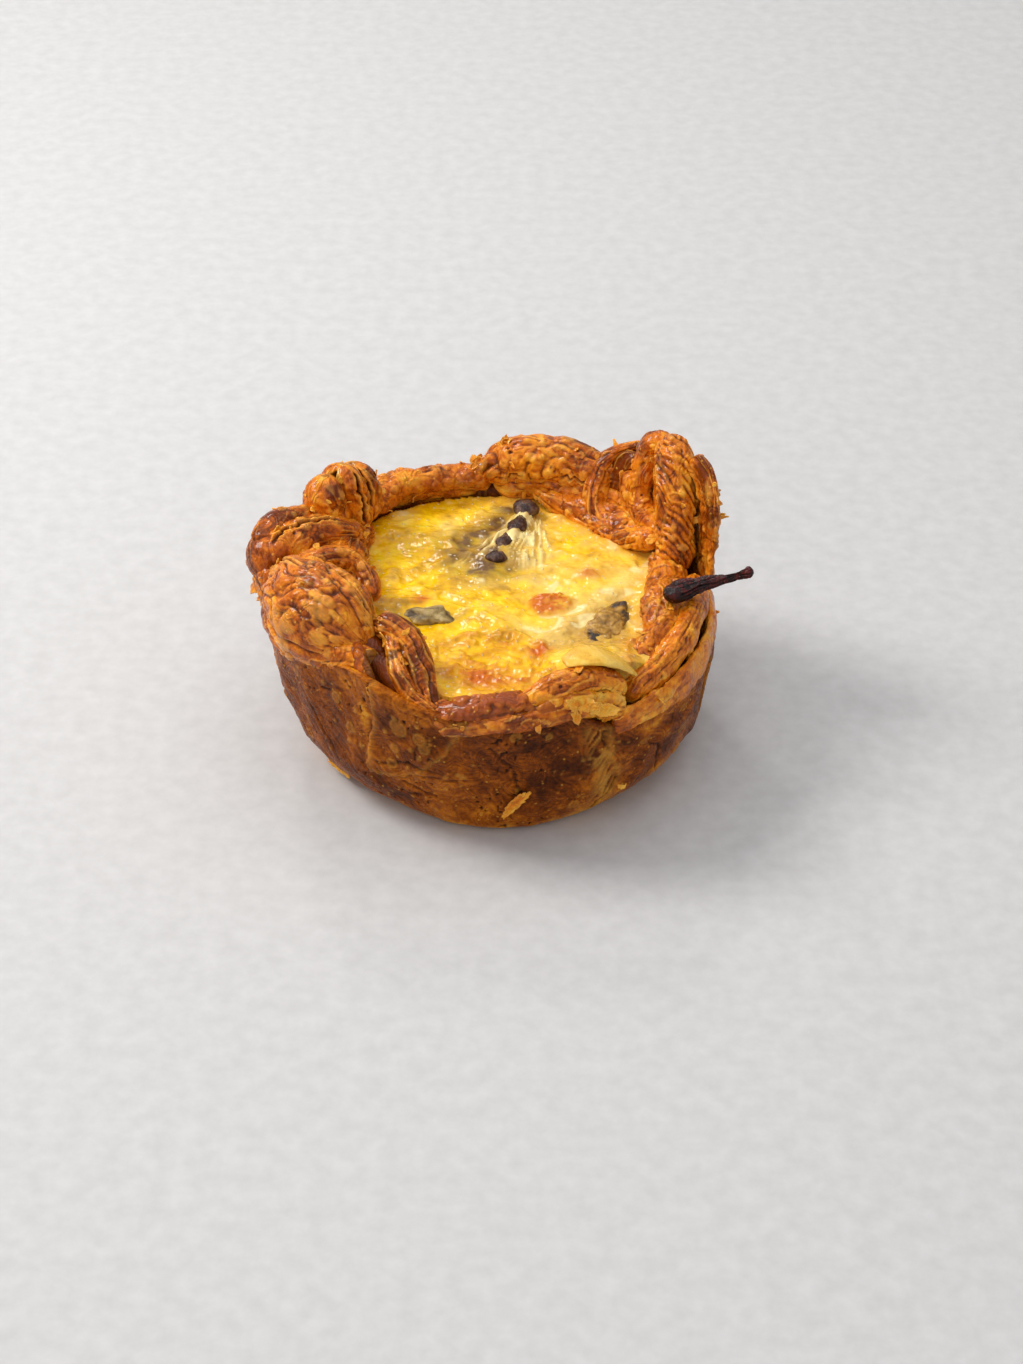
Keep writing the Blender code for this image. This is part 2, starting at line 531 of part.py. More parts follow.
def custard_height(x, y):
    """The custard's top at a point, all in millimetres."""
    front = CUSTARD_FRONT_RISE * -y / RIM_RADIUS
    wave = CUSTARD_WAVE * noise.noise(Vector((x, y, 0)) / CUSTARD_WAVE_SIZE)
    away = (x - MOUND_X) ** 2 + (y - MOUND_Y) ** 2
    return CUSTARD_TOP + front + wave + MOUND_RISE * math.exp(-away / MOUND_SIZE ** 2)


def build_custard(crust, collection):
    """The custard: the cup's inside, up to its wavy top."""
    shape = bmesh.new()
    shape.from_mesh(crust.data)
    tree = BVHTree.FromBMesh(shape)
    shape.free()
    floor = FLOOR_THICKNESS + CLEARANCE
    levels = [floor + (CUSTARD_TOP - floor) * share for share in CUSTARD_LEVELS]
    profile = [(ring, CUSTARD_TOP) for ring in CUSTARD_RINGS]
    profile += [(1.0, level) for level in reversed(levels)] + [(0.0, floor)]
    custard = turned("custard", profile, CUSTARD_STEPS, collection)
    edge = {}
    for vert in custard.data.vertices:
        share = math.hypot(vert.co.x, vert.co.y) / MM
        height = vert.co.z / MM
        angle = math.degrees(math.atan2(vert.co.y, vert.co.x))
        near = polar(angle, VISIBLE_RADIUS, 0) / MM
        on_top = round(height, 3) == CUSTARD_TOP
        highest = height + REACH_UP
        if on_top:
            highest = custard_height(near.x, near.y) + REACH_ABOVE_TOP
        key = (round(angle), round(height))
        if key not in edge:
            edge[key] = reach(tree, angle, height - REACH_DOWN, highest) - CLEARANCE
        place = polar(angle, share * edge[key], height)
        if on_top:
            place.z = custard_height(place.x / MM, place.y / MM) * MM
        vert.co = place
    cutters = bpy.data.collections.new("cutters")
    bpy.context.scene.collection.children.link(cutters)
    for name, piece in LUMPS.items():
        lump("round_" + name, grow=LUMP_CLEARANCE, collection=cutters, **piece)
    for name in SUNK_STRIPS:
        around = fold_mesh("round_" + name, grow=CLEARANCE, sides=STRIP_SIDES, **STRIPS[name])
        new_object("round_" + name, around, cutters)
    combine(custard, "DIFFERENCE", cutters)
    keep_largest(custard)
    return custard


def shade(thing, finish):
    thing.data.materials.clear()
    thing.data.materials.append(finish)
    thing.data.shade_smooth()
    thing.data.set_sharp_from_angle(angle=math.radians(SHARP_EDGE))


for old in list(bpy.data.objects):
    bpy.data.objects.remove(old)
noise.seed_set(CRUMPLE_SEED)

quiche = bpy.data.collections.new("quiche")
bpy.context.scene.collection.children.link(quiche)

pastry_case = build_crust(quiche)
shade(pastry_case, material("baked_pastry", (0.42, 0.17, 0.04), 0.5))
shade(build_custard(pastry_case, quiche), material("custard", (0.86, 0.60, 0.14), 0.35))

FINISHES = {
    "mushroom_left": material("pale_mushroom", (0.30, 0.28, 0.20), 0.4),
    "mushroom_right": material("brown_mushroom", (0.30, 0.20, 0.09), 0.45),
    "mushroom_back": material("dark_mushroom", (0.12, 0.07, 0.06), 0.4),
    "onion_slice": material("onion", (0.80, 0.62, 0.30), 0.35),
    "stalk": material("dried_stalk", (0.07, 0.02, 0.02), 0.5),
}
for lump_name, lump_piece in LUMPS.items():
    shade(lump(lump_name, collection=quiche, **lump_piece), FINISHES[lump_name])
for strip_name, strip in STRIPS.items():
    strip_mesh = fold_mesh(strip_name, sides=STRIP_SIDES, **strip)
    shade(new_object(strip_name, strip_mesh, quiche), FINISHES[strip_name])
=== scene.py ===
"""A small quiche in a tall case of folded, flaky pastry, on a pale floor in soft daylight.

Lengths are in millimetres until a mesh is finished. Angles are in degrees round the case's axis,
anticlockwise from +X seen from above; -Y is the low front of the rim.
"""

import math

import bmesh
import bpy
import numpy as np
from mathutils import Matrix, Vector
from mathutils.bvhtree import BVHTree


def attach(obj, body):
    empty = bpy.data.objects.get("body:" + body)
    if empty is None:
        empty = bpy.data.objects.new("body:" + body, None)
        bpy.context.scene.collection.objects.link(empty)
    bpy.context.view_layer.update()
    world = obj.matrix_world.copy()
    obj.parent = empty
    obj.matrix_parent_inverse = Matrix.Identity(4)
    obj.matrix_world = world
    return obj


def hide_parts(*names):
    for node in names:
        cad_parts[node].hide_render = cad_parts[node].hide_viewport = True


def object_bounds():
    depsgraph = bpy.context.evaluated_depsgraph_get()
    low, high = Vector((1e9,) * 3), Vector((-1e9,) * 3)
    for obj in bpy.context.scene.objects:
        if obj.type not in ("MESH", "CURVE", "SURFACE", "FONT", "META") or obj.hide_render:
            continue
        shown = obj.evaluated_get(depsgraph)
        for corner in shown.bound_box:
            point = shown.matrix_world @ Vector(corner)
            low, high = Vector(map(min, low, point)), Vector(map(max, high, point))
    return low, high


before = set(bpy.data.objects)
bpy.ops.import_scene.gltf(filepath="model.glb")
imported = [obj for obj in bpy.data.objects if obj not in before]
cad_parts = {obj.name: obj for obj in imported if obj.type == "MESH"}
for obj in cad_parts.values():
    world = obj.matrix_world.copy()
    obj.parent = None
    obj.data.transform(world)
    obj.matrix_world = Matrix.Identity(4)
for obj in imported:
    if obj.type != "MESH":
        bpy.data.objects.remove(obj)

cad_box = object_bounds()


# The side of the case: one sheet of laminated dough pressed into a tin, its flaps lapped over each
# other. It is baked matte brown, finely wrinkled and blistered, golden along the bottom and where
# an edge stands free, with one pale, stringy seam where two flaps pulled apart.

MM = 0.001
BASE_RADIUS = 33.0
RIM_RADIUS = 45.2
WALL_HEIGHT = 31.0
WALL_CURVE = 0.33
# How far the wall stands out from a circle at eight angles, at each height.
CUP_PLAN = {
    0.0: (-0.8, -0.4, -1.2, -0.6, 1.7, -1.4, 1.6, -1.0),
    8.0: (0.3, -0.4, -1.5, -0.8, 2.0, 0.4, 0.3, 1.7),
    18.0: (-0.5, -0.5, -1.6, -0.8, 2.2, 0.6, 0.0, 1.0),
    31.0: (-1.7, -0.6, -1.7, -0.9, 2.4, 0.6, 0.0, -1.4),
}
# The wall ends lower on the right and higher at the front left.
LOW_SIDE = -28.0
LOW_SIDE_SPREAD = 42.0
LOW_SIDE_DROP = 8.0
DROP_START = 16.0
HIGH_SIDE = -128.5
HIGH_SIDE_SPREAD = 17.0
HIGH_SIDE_RISE = 5.3
# The grid of the wall: it starts at an angle, goes up the outside and comes down the inside.
SIDE_START = -190.0
SIDE_STEPS = (800, 112)
SIDE_CELL = 0.36
SIDE_UNROLLED = (284.0, 45.0)
OUTSIDE_SHARE = 0.84
SIDE_INSET = 0.35
# A place is sunk or raised against its surroundings within a reach, up to a crest.
AROUND = 0.8
CREST = 0.5
# Each flap: its edge as angles and heights, how far it stands out, over what length it sinks
# back, and how pale its edge is.
FLAPS = (
    (((-164, 38), (-166, 23), (-163, 9), (-160, -6)), 0.6, 14.0, 0.3),
    (((-121, 38), (-123, 25), (-127, 14), (-126, 12.2), (-120, 12.2), (-110.6, 15.5), (-104.5, 20.5),
      (-100.9, 24.5), (-98.0, 29.0), (-97, 38)), 0.9, 13.0, 0.3),
    (((-60, 38), (-62, 28), (-61.0, 20), (-57.5, 12), (-60, 6), (-70, -6)), 0.5, 9.0, 0.25),
    (((-8, 38), (-12, 20), (-17, -6)), 0.7, 9.0, 0.4),
    (((44, 38), (38, 20), (35, -6)), 0.8, 10.0, 0.3),
    (((84, 38), (87, 20), (92, -6)), 0.8, 10.0, 0.2),
    (((144, 38), (140, 27), (142, 15), (136, 5), (135, -6)), 0.6, 9.0, 0.3),
)
# Each patch: its angle and height, how wide and high it is, and how much browner it is baked.
PATCHES = (
    (-146, 22, 13, 9, 0.10), (-125.5, 23, 1.8, 4, -0.42), (-125, 16, 1.5, 2, -0.3),
    (-140, 3, 14, 3, -0.18), (-112, 25, 8, 5, 0.08), (-107, 12, 9, 4, -0.14), (-101, 15, 4, 2, -0.2),
    (-82, 21, 10, 9, 0.22), (-78, 12, 9, 6, 0.10), (-66, 27, 4, 4, 0.22), (-60, 5, 14, 4, -0.42),
    (-98, 5, 12, 3, -0.1), (-44, 15, 9, 6, 0.22), (-46, 28, 10, 3, -0.35), (-34, 6, 12, 4, -0.3),
    (-20, 17, 12, 9, 0.14), (-50, 24, 8, 4, 0.15), (-168, 20, 3.5, 12, -0.35), (150, 14, 20, 12, 0.15),
    (70, 16, 24, 9, 0.2), (12, 18, 12, 9, 0.1), (20, 3, 30, 3, -0.2), (100, 4, 40, 3, -0.2),
)
# The stringy seam's angle and its half width, and the hatched place's angle and its spread.
STRINGY = (-63.0, 3.2)
HATCHED = (-146.0, 16.0)
# Small creases low on the front, as angles and heights.
CREASES = (
    ((-123, 16.0), (-113, 17.8), (-104, 16.5)), ((-116, 12), (-111, 10.2), (-107, 9.8)),
    ((-110, 14.8), (-106, 15.6), (-101, 15)), ((-117, 9), (-114.5, 8.4), (-112, 9)),
    ((-150, 26), (-142, 15), (-138, 10)), ((-92, 24), (-86, 18), (-84, 12)),
    ((-48, 20), (-44, 15), (-43, 9)),
)
# Blisters by chance, small and large, and two that stand at the front as angle, height and size.
SMALL_BLISTERS = 520
LARGE_BLISTERS = 46
FRONT_BLISTERS = ((-115.4, 25.0, 1.9), (-117, 20.3, 1.1))


def as_points(*values):
    """Points, or other rows of numbers, from their values."""
    return np.stack(values, axis=1)


def round_axis(radius, turn, height):
    """Points from their distance from the case's axis, their turn in radians and their height."""
    return as_points(radius * np.cos(turn), radius * np.sin(turn), height)


def cloud(points, size, seed=0):
    """Smooth noise between -1 and 1 at points in mm, in lumps of about a size in mm."""
    spot = np.asarray(points, float) / size + 7.31 * seed + 0.37
    corner = np.floor(spot).astype(np.int64)
    part = spot - corner
    part = part * part * part * (part * (part * 6 - 15) + 10)
    total = np.zeros(len(spot))
    for i in range(8):
        step = np.array((i & 1, (i >> 1) & 1, (i >> 2) & 1))
        weight = np.where(step, part, 1 - part).prod(axis=1)
        x, y, z = (corner + step).T
        mixed = (x * 73856093) ^ (y * 19349663) ^ (z * 83492791)
        mixed = ((mixed ^ (mixed >> 13)) * 1274126177) & 0x7FFFFFFF
        mixed = ((mixed ^ (mixed >> 15)) * 668265263) & 0x7FFFFFFF
        total += weight * ((mixed % 20011) / 10005.0 - 1)
    return total


def drift(points, size, seed):
    """The same noise in each of the three ways."""
    return as_points(*(cloud(points, size, seed + i) for i in range(3)))


def fade(low, high, value):
    """0 below low, 1 above high and smooth between them."""
    share = np.clip((value - low) / (high - low), 0, 1)
    return share * share * (3 - 2 * share)


def sunk(relief, columns, rows, cell, wraps):
    """How far each place stands over its surroundings, from 0 in a crack to 1 on a crest."""
    table = relief.reshape(rows, columns)
    smooth = table
    reach = max(1, int(round(AROUND / cell)))
    for axis in (0, 1):
        padded = np.concatenate([smooth] * 3, axis=axis) if wraps and axis == 0 else np.concatenate(
            (np.flip(smooth, axis), smooth, np.flip(smooth, axis)), axis=axis)
        total = np.cumsum(padded, axis=axis)
        start = smooth.shape[axis]
        high = np.take(total, np.arange(start + reach, 2 * start + reach), axis=axis)
        low = np.take(total, np.arange(start - reach - 1, 2 * start - reach - 1), axis=axis)
        smooth = (high - low) / (2 * reach + 1)
    return np.clip(0.5 + (table - smooth).ravel() / CREST, 0, 1)


def points_of(mesh):
    """A mesh's points in metres."""
    flat = np.empty(len(mesh.vertices) * 3)
    mesh.vertices.foreach_get("co", flat)
    return flat.reshape(-1, 3)


def keep_values(mesh, values):
    """Keeps a value for each point of a mesh, for its material to read."""
    for key, value in values.items():
        layer = mesh.attributes.new(key, "FLOAT", "POINT")
        layer.data.foreach_set("value", value.astype(np.float32))


def mesh_of(shape, name):
    """A mesh of a shape that is done with."""
    mesh = bpy.data.meshes.new(name)
    shape.to_mesh(mesh)
    shape.free()
    return mesh


def show(mesh):
    """An object of a mesh, of the same name, in the scene."""
    mesh.shade_smooth()
    thing = bpy.data.objects.new(mesh.name, mesh)
    bpy.context.scene.collection.objects.link(thing)
    return thing


def lay(name, columns, rows, shape, cell, thickness=0.0, closed=False):
    """A piece bent from a fine grid.

    shape(u, v) takes the places on the grid from 0 to 1 and gives points in mm, the way that their
    relief stands, the relief, the size of the grid in mm for its UV map, and other values.
    """
    grid = bmesh.new()
    grid.loops.layers.uv.new("UVMap")
    bmesh.ops.create_grid(grid, x_segments=columns, y_segments=rows, size=0.5, calc_uvs=True)
    mesh = bpy.data.meshes.new(name)
    grid.to_mesh(mesh)
    flat = points_of(mesh) + 0.5
    points, normals, relief, size, values = shape(flat[:, 0], flat[:, 1])
    mesh.vertices.foreach_set("co", ((points + normals * relief[:, None]) * MM).ravel())
    corners = np.empty(len(mesh.loops) * 2)
    mesh.uv_layers[0].data.foreach_get("uv", corners)
    corners = corners.reshape(-1, 2) * size
    mesh.uv_layers[0].data.foreach_set("uv", corners.ravel())
    values["lift"] = sunk(relief, columns + 1, rows + 1, cell, closed)
    keep_values(mesh, values)
    grid.clear()
    grid.from_mesh(mesh)
    if closed:
        bmesh.ops.remove_doubles(grid, verts=grid.verts, dist=0.000002)
        bmesh.ops.recalc_face_normals(grid, faces=grid.faces)
    if thickness:
        bmesh.ops.solidify(grid, geom=grid.faces[:] + grid.edges[:] + grid.verts[:],
                           thickness=thickness * MM)
        bmesh.ops.recalc_face_normals(grid, faces=grid.faces)
    grid.to_mesh(mesh)
    grid.free()
    return show(mesh)


def outer_radius(height):
    """The case's outside radius at a height."""
    return BASE_RADIUS + (RIM_RADIUS - BASE_RADIUS) * np.clip(height / WALL_HEIGHT, 0, 1) ** WALL_CURVE


def plan_offset(angle, height):
    """How far the case's wall stands out from a circle."""
    corner = (angle % 360.0) / 45.0
    first = np.floor(corner).astype(int)
    part = 0.5 - 0.5 * np.cos(np.pi * (corner - first))
    heights = sorted(CUP_PLAN)
    at = [np.array(CUP_PLAN[level])[first % 8] * (1 - part)
          + np.array(CUP_PLAN[level])[(first + 1) % 8] * part for level in heights]
    offset = at[0]
    for low, high, below, above in zip(heights, heights[1:], at, at[1:]):
        share = np.clip((height - low) / (high - low), 0, 1)
        offset = np.where(height >= low, below * (1 - share) + above * share, offset)
    return offset


def rim_drop(angle):
    """How much lower the wall ends on the right."""
    away = np.abs((angle - LOW_SIDE + 180.0) % 360.0 - 180.0) / LOW_SIDE_SPREAD
    return LOW_SIDE_DROP * np.clip(1.0 - away ** 4, 0, 1)


def on_wall(angle, height, proud):
    """Points on the case's side, standing out by a length."""
    radius = outer_radius(height) + plan_offset(angle, height) + proud
    high = np.clip((height - DROP_START) / (WALL_HEIGHT - DROP_START), 0, 1)
    rise = HIGH_SIDE_RISE * np.exp(-(((angle - HIGH_SIDE + 180) % 360 - 180) / HIGH_SIDE_SPREAD) ** 2)
    return round_axis(radius, np.radians(angle), height + (rise - rim_drop(angle)) * high)


def from_line(flat, line):
    """Distances from a line through places, positive on its left."""
    best = np.full(len(flat), 1e9)
    side = np.ones(len(flat))
    for start, end in zip(line, line[1:]):
        start, way = np.array(start), np.array(end) - np.array(start)
        share = np.clip(((flat - start) @ way) / (way @ way), 0, 1)
        gap = flat - start - share[:, None] * way
        far = np.hypot(gap[:, 0], gap[:, 1])
        nearer = far < best
        side = np.where(nearer, np.where(way[0] * gap[:, 1] > way[1] * gap[:, 0], 1, -1), side)
        best = np.where(nearer, far, best)
    return best * side


def scattered(flat, spots):
    """Small domes at spots, given as places and sizes."""
    height = np.zeros(len(flat))
    order = np.argsort(flat[:, 0])
    sorted_x = flat[order, 0]
    for x, y, size in spots:
        low, high = np.searchsorted(sorted_x, (x - size, x + size))
        near = order[low:high]
        away = np.hypot(flat[near, 0] - x, flat[near, 1] - y) / size
        height[near] = np.maximum(height[near], size * np.clip(1 - away ** 2, 0, 1))
    return height


def side_shape(u, v):
    """The wall, up its outside and down its inside, with its flaps, creases, blisters and pits."""
    angle = SIDE_START + 360.0 * u
    inwards = np.clip((v - OUTSIDE_SHARE) / (1 - OUTSIDE_SHARE), 0, 1)
    outside = np.clip(v / OUTSIDE_SHARE, 0, 1)
    height = np.where(inwards > 0, np.interp(inwards, (0, 0.1, 0.2, 0.6, 0.85, 0.94, 1.0),
                                             (WALL_HEIGHT, 31.3, 30.6, 16.0, 3.0, 0.25, 0.0)),
                      WALL_HEIGHT * outside ** 1.2)
    inset = np.interp(inwards, (0, 0.1, 0.2, 0.85, 0.94, 1.0), (0, 1.2, 2.4, 2.4, 2.0, 0.0))
    turn = np.radians(angle)
    scale = math.radians(1) * RIM_RADIUS
    flat = as_points(angle * scale, height)

    def around(lean, squeeze):
        return round_axis(RIM_RADIUS, turn + lean * height / RIM_RADIUS, height * squeeze)

    plain = around(0, 1)
    ragged = 0.7 * cloud(plain, 3.5, 3) + 0.35 * cloud(plain, 1.0, 4)
    proud, edge, crack_and_shade, folded, baked = np.zeros((5, len(u)))
    for line, stands, reach, pale in FLAPS:
        far = from_line(flat, [(at * scale, level) for at, level in line]) + ragged
        proud += stands * fade(-0.25, 0.35, far) * np.exp(-np.maximum(far, 0) / reach)
        edge = np.maximum(edge, pale * np.exp(-((far - 0.5) / 0.7) ** 2))
        # Just under each flap's edge runs a slit, sunk and painted dark: a groove with painted shade in it.
        slit = 0.8 * np.exp(-((far + 0.3) / 0.3) ** 2) * fade(-0.3, 0.5, cloud(plain, 5, 5))
        crack_and_shade = np.maximum(crack_and_shade, slit)
    for line in CREASES:
        far = np.abs(from_line(flat, [(at * scale, level) for at, level in line]) + 0.5 * ragged)
        folded = np.maximum(folded, np.exp(-(far / 0.4) ** 2))
    for at, level, broad, high, amount in PATCHES:
        away = ((angle - at + 180) % 360 - 180) / broad
        baked += amount * np.exp(-away ** 2 - ((height - level) / high) ** 2)

    warp = 1.4 * drift(plain, 5, 14)
    creases = np.abs(cloud(around(0.9, 0.55) + warp, 2.6, 7)) ** 0.6
    small = np.abs(cloud(around(0.9, 0.45) + warp, 1.1, 8)) ** 0.7
    hatch = np.abs(cloud(around(0.9, 0.3) + 0.7 * warp, 0.75, 16))
    near_hatched = 1.2 * np.exp(-((angle - HATCHED[0]) / HATCHED[1]) ** 2)
    hatched = 0.35 + 0.65 * fade(-0.2, 0.4, cloud(plain, 9, 18) + near_hatched)
    draw = np.random.default_rng(41)
    spots = []
    for number, low, high, smallest, largest in ((SMALL_BLISTERS, 2, 31, 0.25, 0.7),
                                                 (LARGE_BLISTERS, 3, 29, 0.9, 1.9)):
        spots += [(draw.uniform(SIDE_START, SIDE_START + 360) * scale, draw.uniform(low, high),
                   draw.uniform(smallest, largest)) for _ in range(number)]
    domes = scattered(flat, spots + [(at * scale, level, size) for at, level, size in FRONT_BLISTERS])
    pits = fade(0.68, 0.8, cloud(plain, 0.9, 9)) * fade(0.0, 0.3, cloud(plain, 6, 17))
    middle, wide = STRINGY
    stringy = (np.exp(-((angle - middle + 0.2 * (height - 20)) / wide) ** 2) * fade(3, 9, height)
               * (1 - fade(27, 31, height)))
    string = 1 - np.abs(cloud(around(-0.35, 0.16) + 0.5 * warp, 0.95, 19)) * 2.2

    relief = (0.6 * cloud(plain, 10, 6) + 0.35 * cloud(plain, 4.5, 10) + 0.26 * (creases - 0.6)
              + 0.12 * (small - 0.55) + 0.15 * hatched * (hatch - 0.3) + 0.3 * np.minimum(domes, 0.5)
              - 0.4 * pits - 0.35 * crack_and_shade - 0.3 * folded + 0.3 * stringy * np.clip(string, -0.5, 1))
    relief = np.minimum(relief, 0.5) * np.clip(outside * 12, 0, 1) * (1 - np.clip(inwards * 12, 0, 1))
    lowest = 1 - fade(0.8, 4.0, height + 0.8 * cloud(plain, 4, 13))
    values = {
        "edge": np.clip(edge + 0.9 * stringy * np.clip(string, 0, 1) + 0.15 * fade(0.9, 1.6, domes), 0, 1),
        "tone": 0.5 + baked + 0.18 * cloud(plain, 6, 11) + 0.12 * cloud(plain, 2.5, 12) - 0.4 * lowest,
        "dome": np.clip(domes * 2.0, 0, 1) * (1 - 0.7 * fade(0.6, 1.1, domes)),
        # The slits, creases and pits are painted dark: painted shade in the grooves and pits.
        "crack_and_shade": np.clip(0.8 * crack_and_shade + 0.3 * folded + 0.6 * pits, 0, 1),
        "glaze": np.zeros_like(u),
    }
    stands = 0.8 * proud * np.clip(height / 4, 0.1, 1) * (inwards == 0) - SIDE_INSET - inset
    return on_wall(angle, height, stands), round_axis(1, turn, 0 * turn), relief, SIDE_UNROLLED, values


def fill(tree, node, inputs):
    """Sets a node's inputs to values, or joins them to other nodes' outputs."""
    for key, value in inputs.items():
        if isinstance(value, bpy.types.NodeSocket):
            tree.links.new(value, node.inputs[key])
        else:
            node.inputs[key].default_value = value


def put(tree, kind, inputs, output=0, **settings):
    """A new node with its settings and inputs, of which one output is used."""
    node = tree.nodes.new(kind)
    for key, value in settings.items():
        setattr(node, key, value)
    fill(tree, node, inputs)
    return node.outputs[output]


def attribute(tree, name):
    return put(tree, "ShaderNodeAttribute", {}, "Fac", attribute_name=name)


def plus(tree, first, second, operation="ADD", clamp=False):
    return put(tree, "ShaderNodeMath", {0: first, 1: second}, operation=operation, use_clamp=clamp)


def minus(tree, first, second):
    return plus(tree, first, second, "SUBTRACT")


def times(tree, first, second, clamp=False):
    return plus(tree, first, second, "MULTIPLY", clamp)


def summed(tree, start, parts):
    """A number and the parts, each a value, what is taken from it, and its weight."""
    for value, middle, weight in parts:
        start = plus(tree, start, times(tree, minus(tree, value, middle), weight))
    return start


def ranged(tree, value, low, high, at_low=0.0, at_high=1.0):
    """A value carried from one range to another and kept inside it."""
    return put(tree, "ShaderNodeMapRange", {"Value": value, "From Min": low, "From Max": high,
                                            "To Min": at_low, "To Max": at_high})


def blend(tree, share, colour, other):
    """A colour, turned into another where the share is 1."""
    return put(tree, "ShaderNodeMix", {"Factor": share, 6: colour, 7: (*other, 1.0)}, 2, data_type="RGBA")


def ramp(tree, value, stops):
    """The colour that a value stands for between stops."""
    colour = put(tree, "ShaderNodeValToRGB", {0: value})
    bar = colour.node.color_ramp.elements
    while len(bar) < len(stops):
        bar.new(0.5)
    for stop, (place, shade) in zip(bar, stops):
        stop.position = place
        stop.color = (*shade, 1.0)
    return colour


def noise(tree, place, size, detail=4.0, rough=0.55, distortion=0.0):
    """Noise with lumps of a size in the coordinates' own unit."""
    return put(tree, "ShaderNodeTexNoise", {"Vector": place, "Scale": 1 / size, "Detail": detail,
                                            "Roughness": rough, "Distortion": distortion})


def dotted(tree, place, scale, full, gone, **settings):
    """Small dots: 1 up to a distance from scattered points and 0 from a further one."""
    away = put(tree, "ShaderNodeTexVoronoi", {"Vector": place, "Scale": scale}, "Distance", **settings)
    return ranged(tree, away, full, gone, 1.0, 0.0)


def bump(tree, height, strength, distance):
    return put(tree, "ShaderNodeBump", {"Height": height, "Strength": strength, "Distance": distance})


def pastry_material(name, colours, crack_and_shade, pale, open_share, uneven, coat, shift, lines):
    """Baked dough, from least to most baked in five colours.

    The crack colour paints its cracks and also the painted shade in its creases, hollows and under
    its flakes, and pale its torn edges; open_share is how much darker it bakes where it lies open
    and uneven how patchy it is; coat is its gloss; lines are the size, number and depth of the fine
    lines in its skin.
    """
    material = bpy.data.materials.new(name)
    material.use_nodes = True
    tree = material.node_tree
    place = put(tree, "ShaderNodeTexCoord", {}, "Object")
    surface = put(tree, "ShaderNodeUVMap", {}, uv_map="UVMap")
    drawn_out = put(tree, "ShaderNodeMapping", {"Vector": surface, "Scale": (0.35, 1.3, 1.0)})
    streaks = noise(tree, drawn_out, 1.0, 5.0, 0.65, 1.4)
    patches = noise(tree, place, 0.005, 3.0)
    grain = noise(tree, place, 0.0007, 5.0, 0.7)
    creased = plus(tree, minus(tree, noise(tree, place, 0.0022, 3.0, 0.5), 0.5), 0.0, "ABSOLUTE")
    wrinkles = times(tree, creased, 9.0, clamp=True)
    size, number, deep = lines
    rings = plus(tree, times(tree, noise(tree, place, size, 1.0, 0.4, 0.6), number), 0.0, "SINE")
    specks = dotted(tree, place, 480.0, 0.08, 0.16)
    lift, edge, glaze = attribute(tree, "lift"), attribute(tree, "edge"), attribute(tree, "glaze")

    # lift takes the colour towards the least baked where a place stands over its surroundings and towards
    # the most baked where it is sunk: painted light on the crests and painted shade in the creases.
    baked = [(attribute(tree, "tone"), 0.5, 0.9), (streaks, 0.5, 0.5 * uneven), (patches, 0.5, uneven),
             (grain, 0.5, 0.7), (lift, 0.5, -0.4), (rings, 0.0, -0.06)]
    if open_share:
        baked.append((attribute(tree, "open"), 0.4, open_share))
    colour = ramp(tree, summed(tree, shift, baked), [(i / 4, shade) for i, shade in enumerate(colours)])
    colour = blend(tree, times(tree, glaze, 0.9), colour, GLAZE_COLOUR)
    # Sunk places, and the valleys of the creased noise that the bump makes, turn to the dark crack colour:
    # painted shade.
    colour = blend(tree, times(tree, ranged(tree, lift, 0.38, 0.05), 0.65), colour, crack_and_shade)
    colour = blend(tree, times(tree, minus(tree, 1.0, wrinkles), 0.15), colour, crack_and_shade)
    colour = blend(tree, times(tree, specks, 0.55), colour, pale)
    colour = blend(tree, times(tree, edge, plus(tree, grain, 0.2), clamp=True), colour, pale)
    puffed = times(tree, attribute(tree, "dome"), minus(tree, 0.32, glaze), clamp=True)
    colour = blend(tree, puffed, colour, pale)
    # These dark values hold real cracks and pits, and also painted shade in creases and under flakes.
    colour = blend(tree, times(tree, attribute(tree, "crack_and_shade"), 0.9, clamp=True), colour, crack_and_shade)
    if open_share:
        # Places that the rays found closed in turn dark: painted shade in the hollows between folds.
        hollow_shade = ranged(tree, attribute(tree, "open"), 0.2, 0.02)
        colour = blend(tree, times(tree, hollow_shade, 0.8), colour, crack_and_shade)
    rough = minus(tree, ranged(tree, grain, 0.35, 0.65, 0.20, 0.42), times(tree, glaze, 0.18))
    ripple = summed(tree, 0.0, ((streaks, 0.0, 0.5), (grain, 0.0, 0.8), (wrinkles, 0.0, 0.2),
                                (rings, 0.0, deep), (specks, 0.0, 0.6)))
    fill(tree, tree.nodes["Principled BSDF"], {
        "Base Color": colour, "Roughness": rough, "Specular IOR Level": 0.07,
        "Coat Weight": plus(tree, coat, times(tree, glaze, 0.15)), "Coat Roughness": 0.12,
        "Normal": bump(tree, ripple, 0.6, 0.0003)})
    return material


def dress(pieces, finish, node):
    """Gives pieces their finish; they ride on the one body and stand for a node of the frame."""
    for piece in pieces:
        piece.data.materials.append(finish)
        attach(piece, "root")
        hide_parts(node)


GLAZE_COLOUR = (0.33, 0.058, 0.005)
wall_pastry = pastry_material(
    "wall_pastry", ((0.78, 0.32, 0.016), (0.52, 0.145, 0.006), (0.27, 0.060, 0.003),
                    (0.11, 0.023, 0.002), (0.035, 0.008, 0.002)),
    crack_and_shade=(0.03, 0.007, 0.002), pale=(0.70, 0.34, 0.05), open_share=0.0, uneven=0.7, coat=0.03, shift=0.545,
    lines=(0.007, 90.0, 0.13))
case_side = lay("case_side", *SIDE_STEPS, side_shape, SIDE_CELL, closed=True)
dress([case_side], wall_pastry, "crust")


# The bottom of the case: the same dough, flat where it stood on the tin and rounded up into the
# side. It is one closed plate, which the custard rests on.

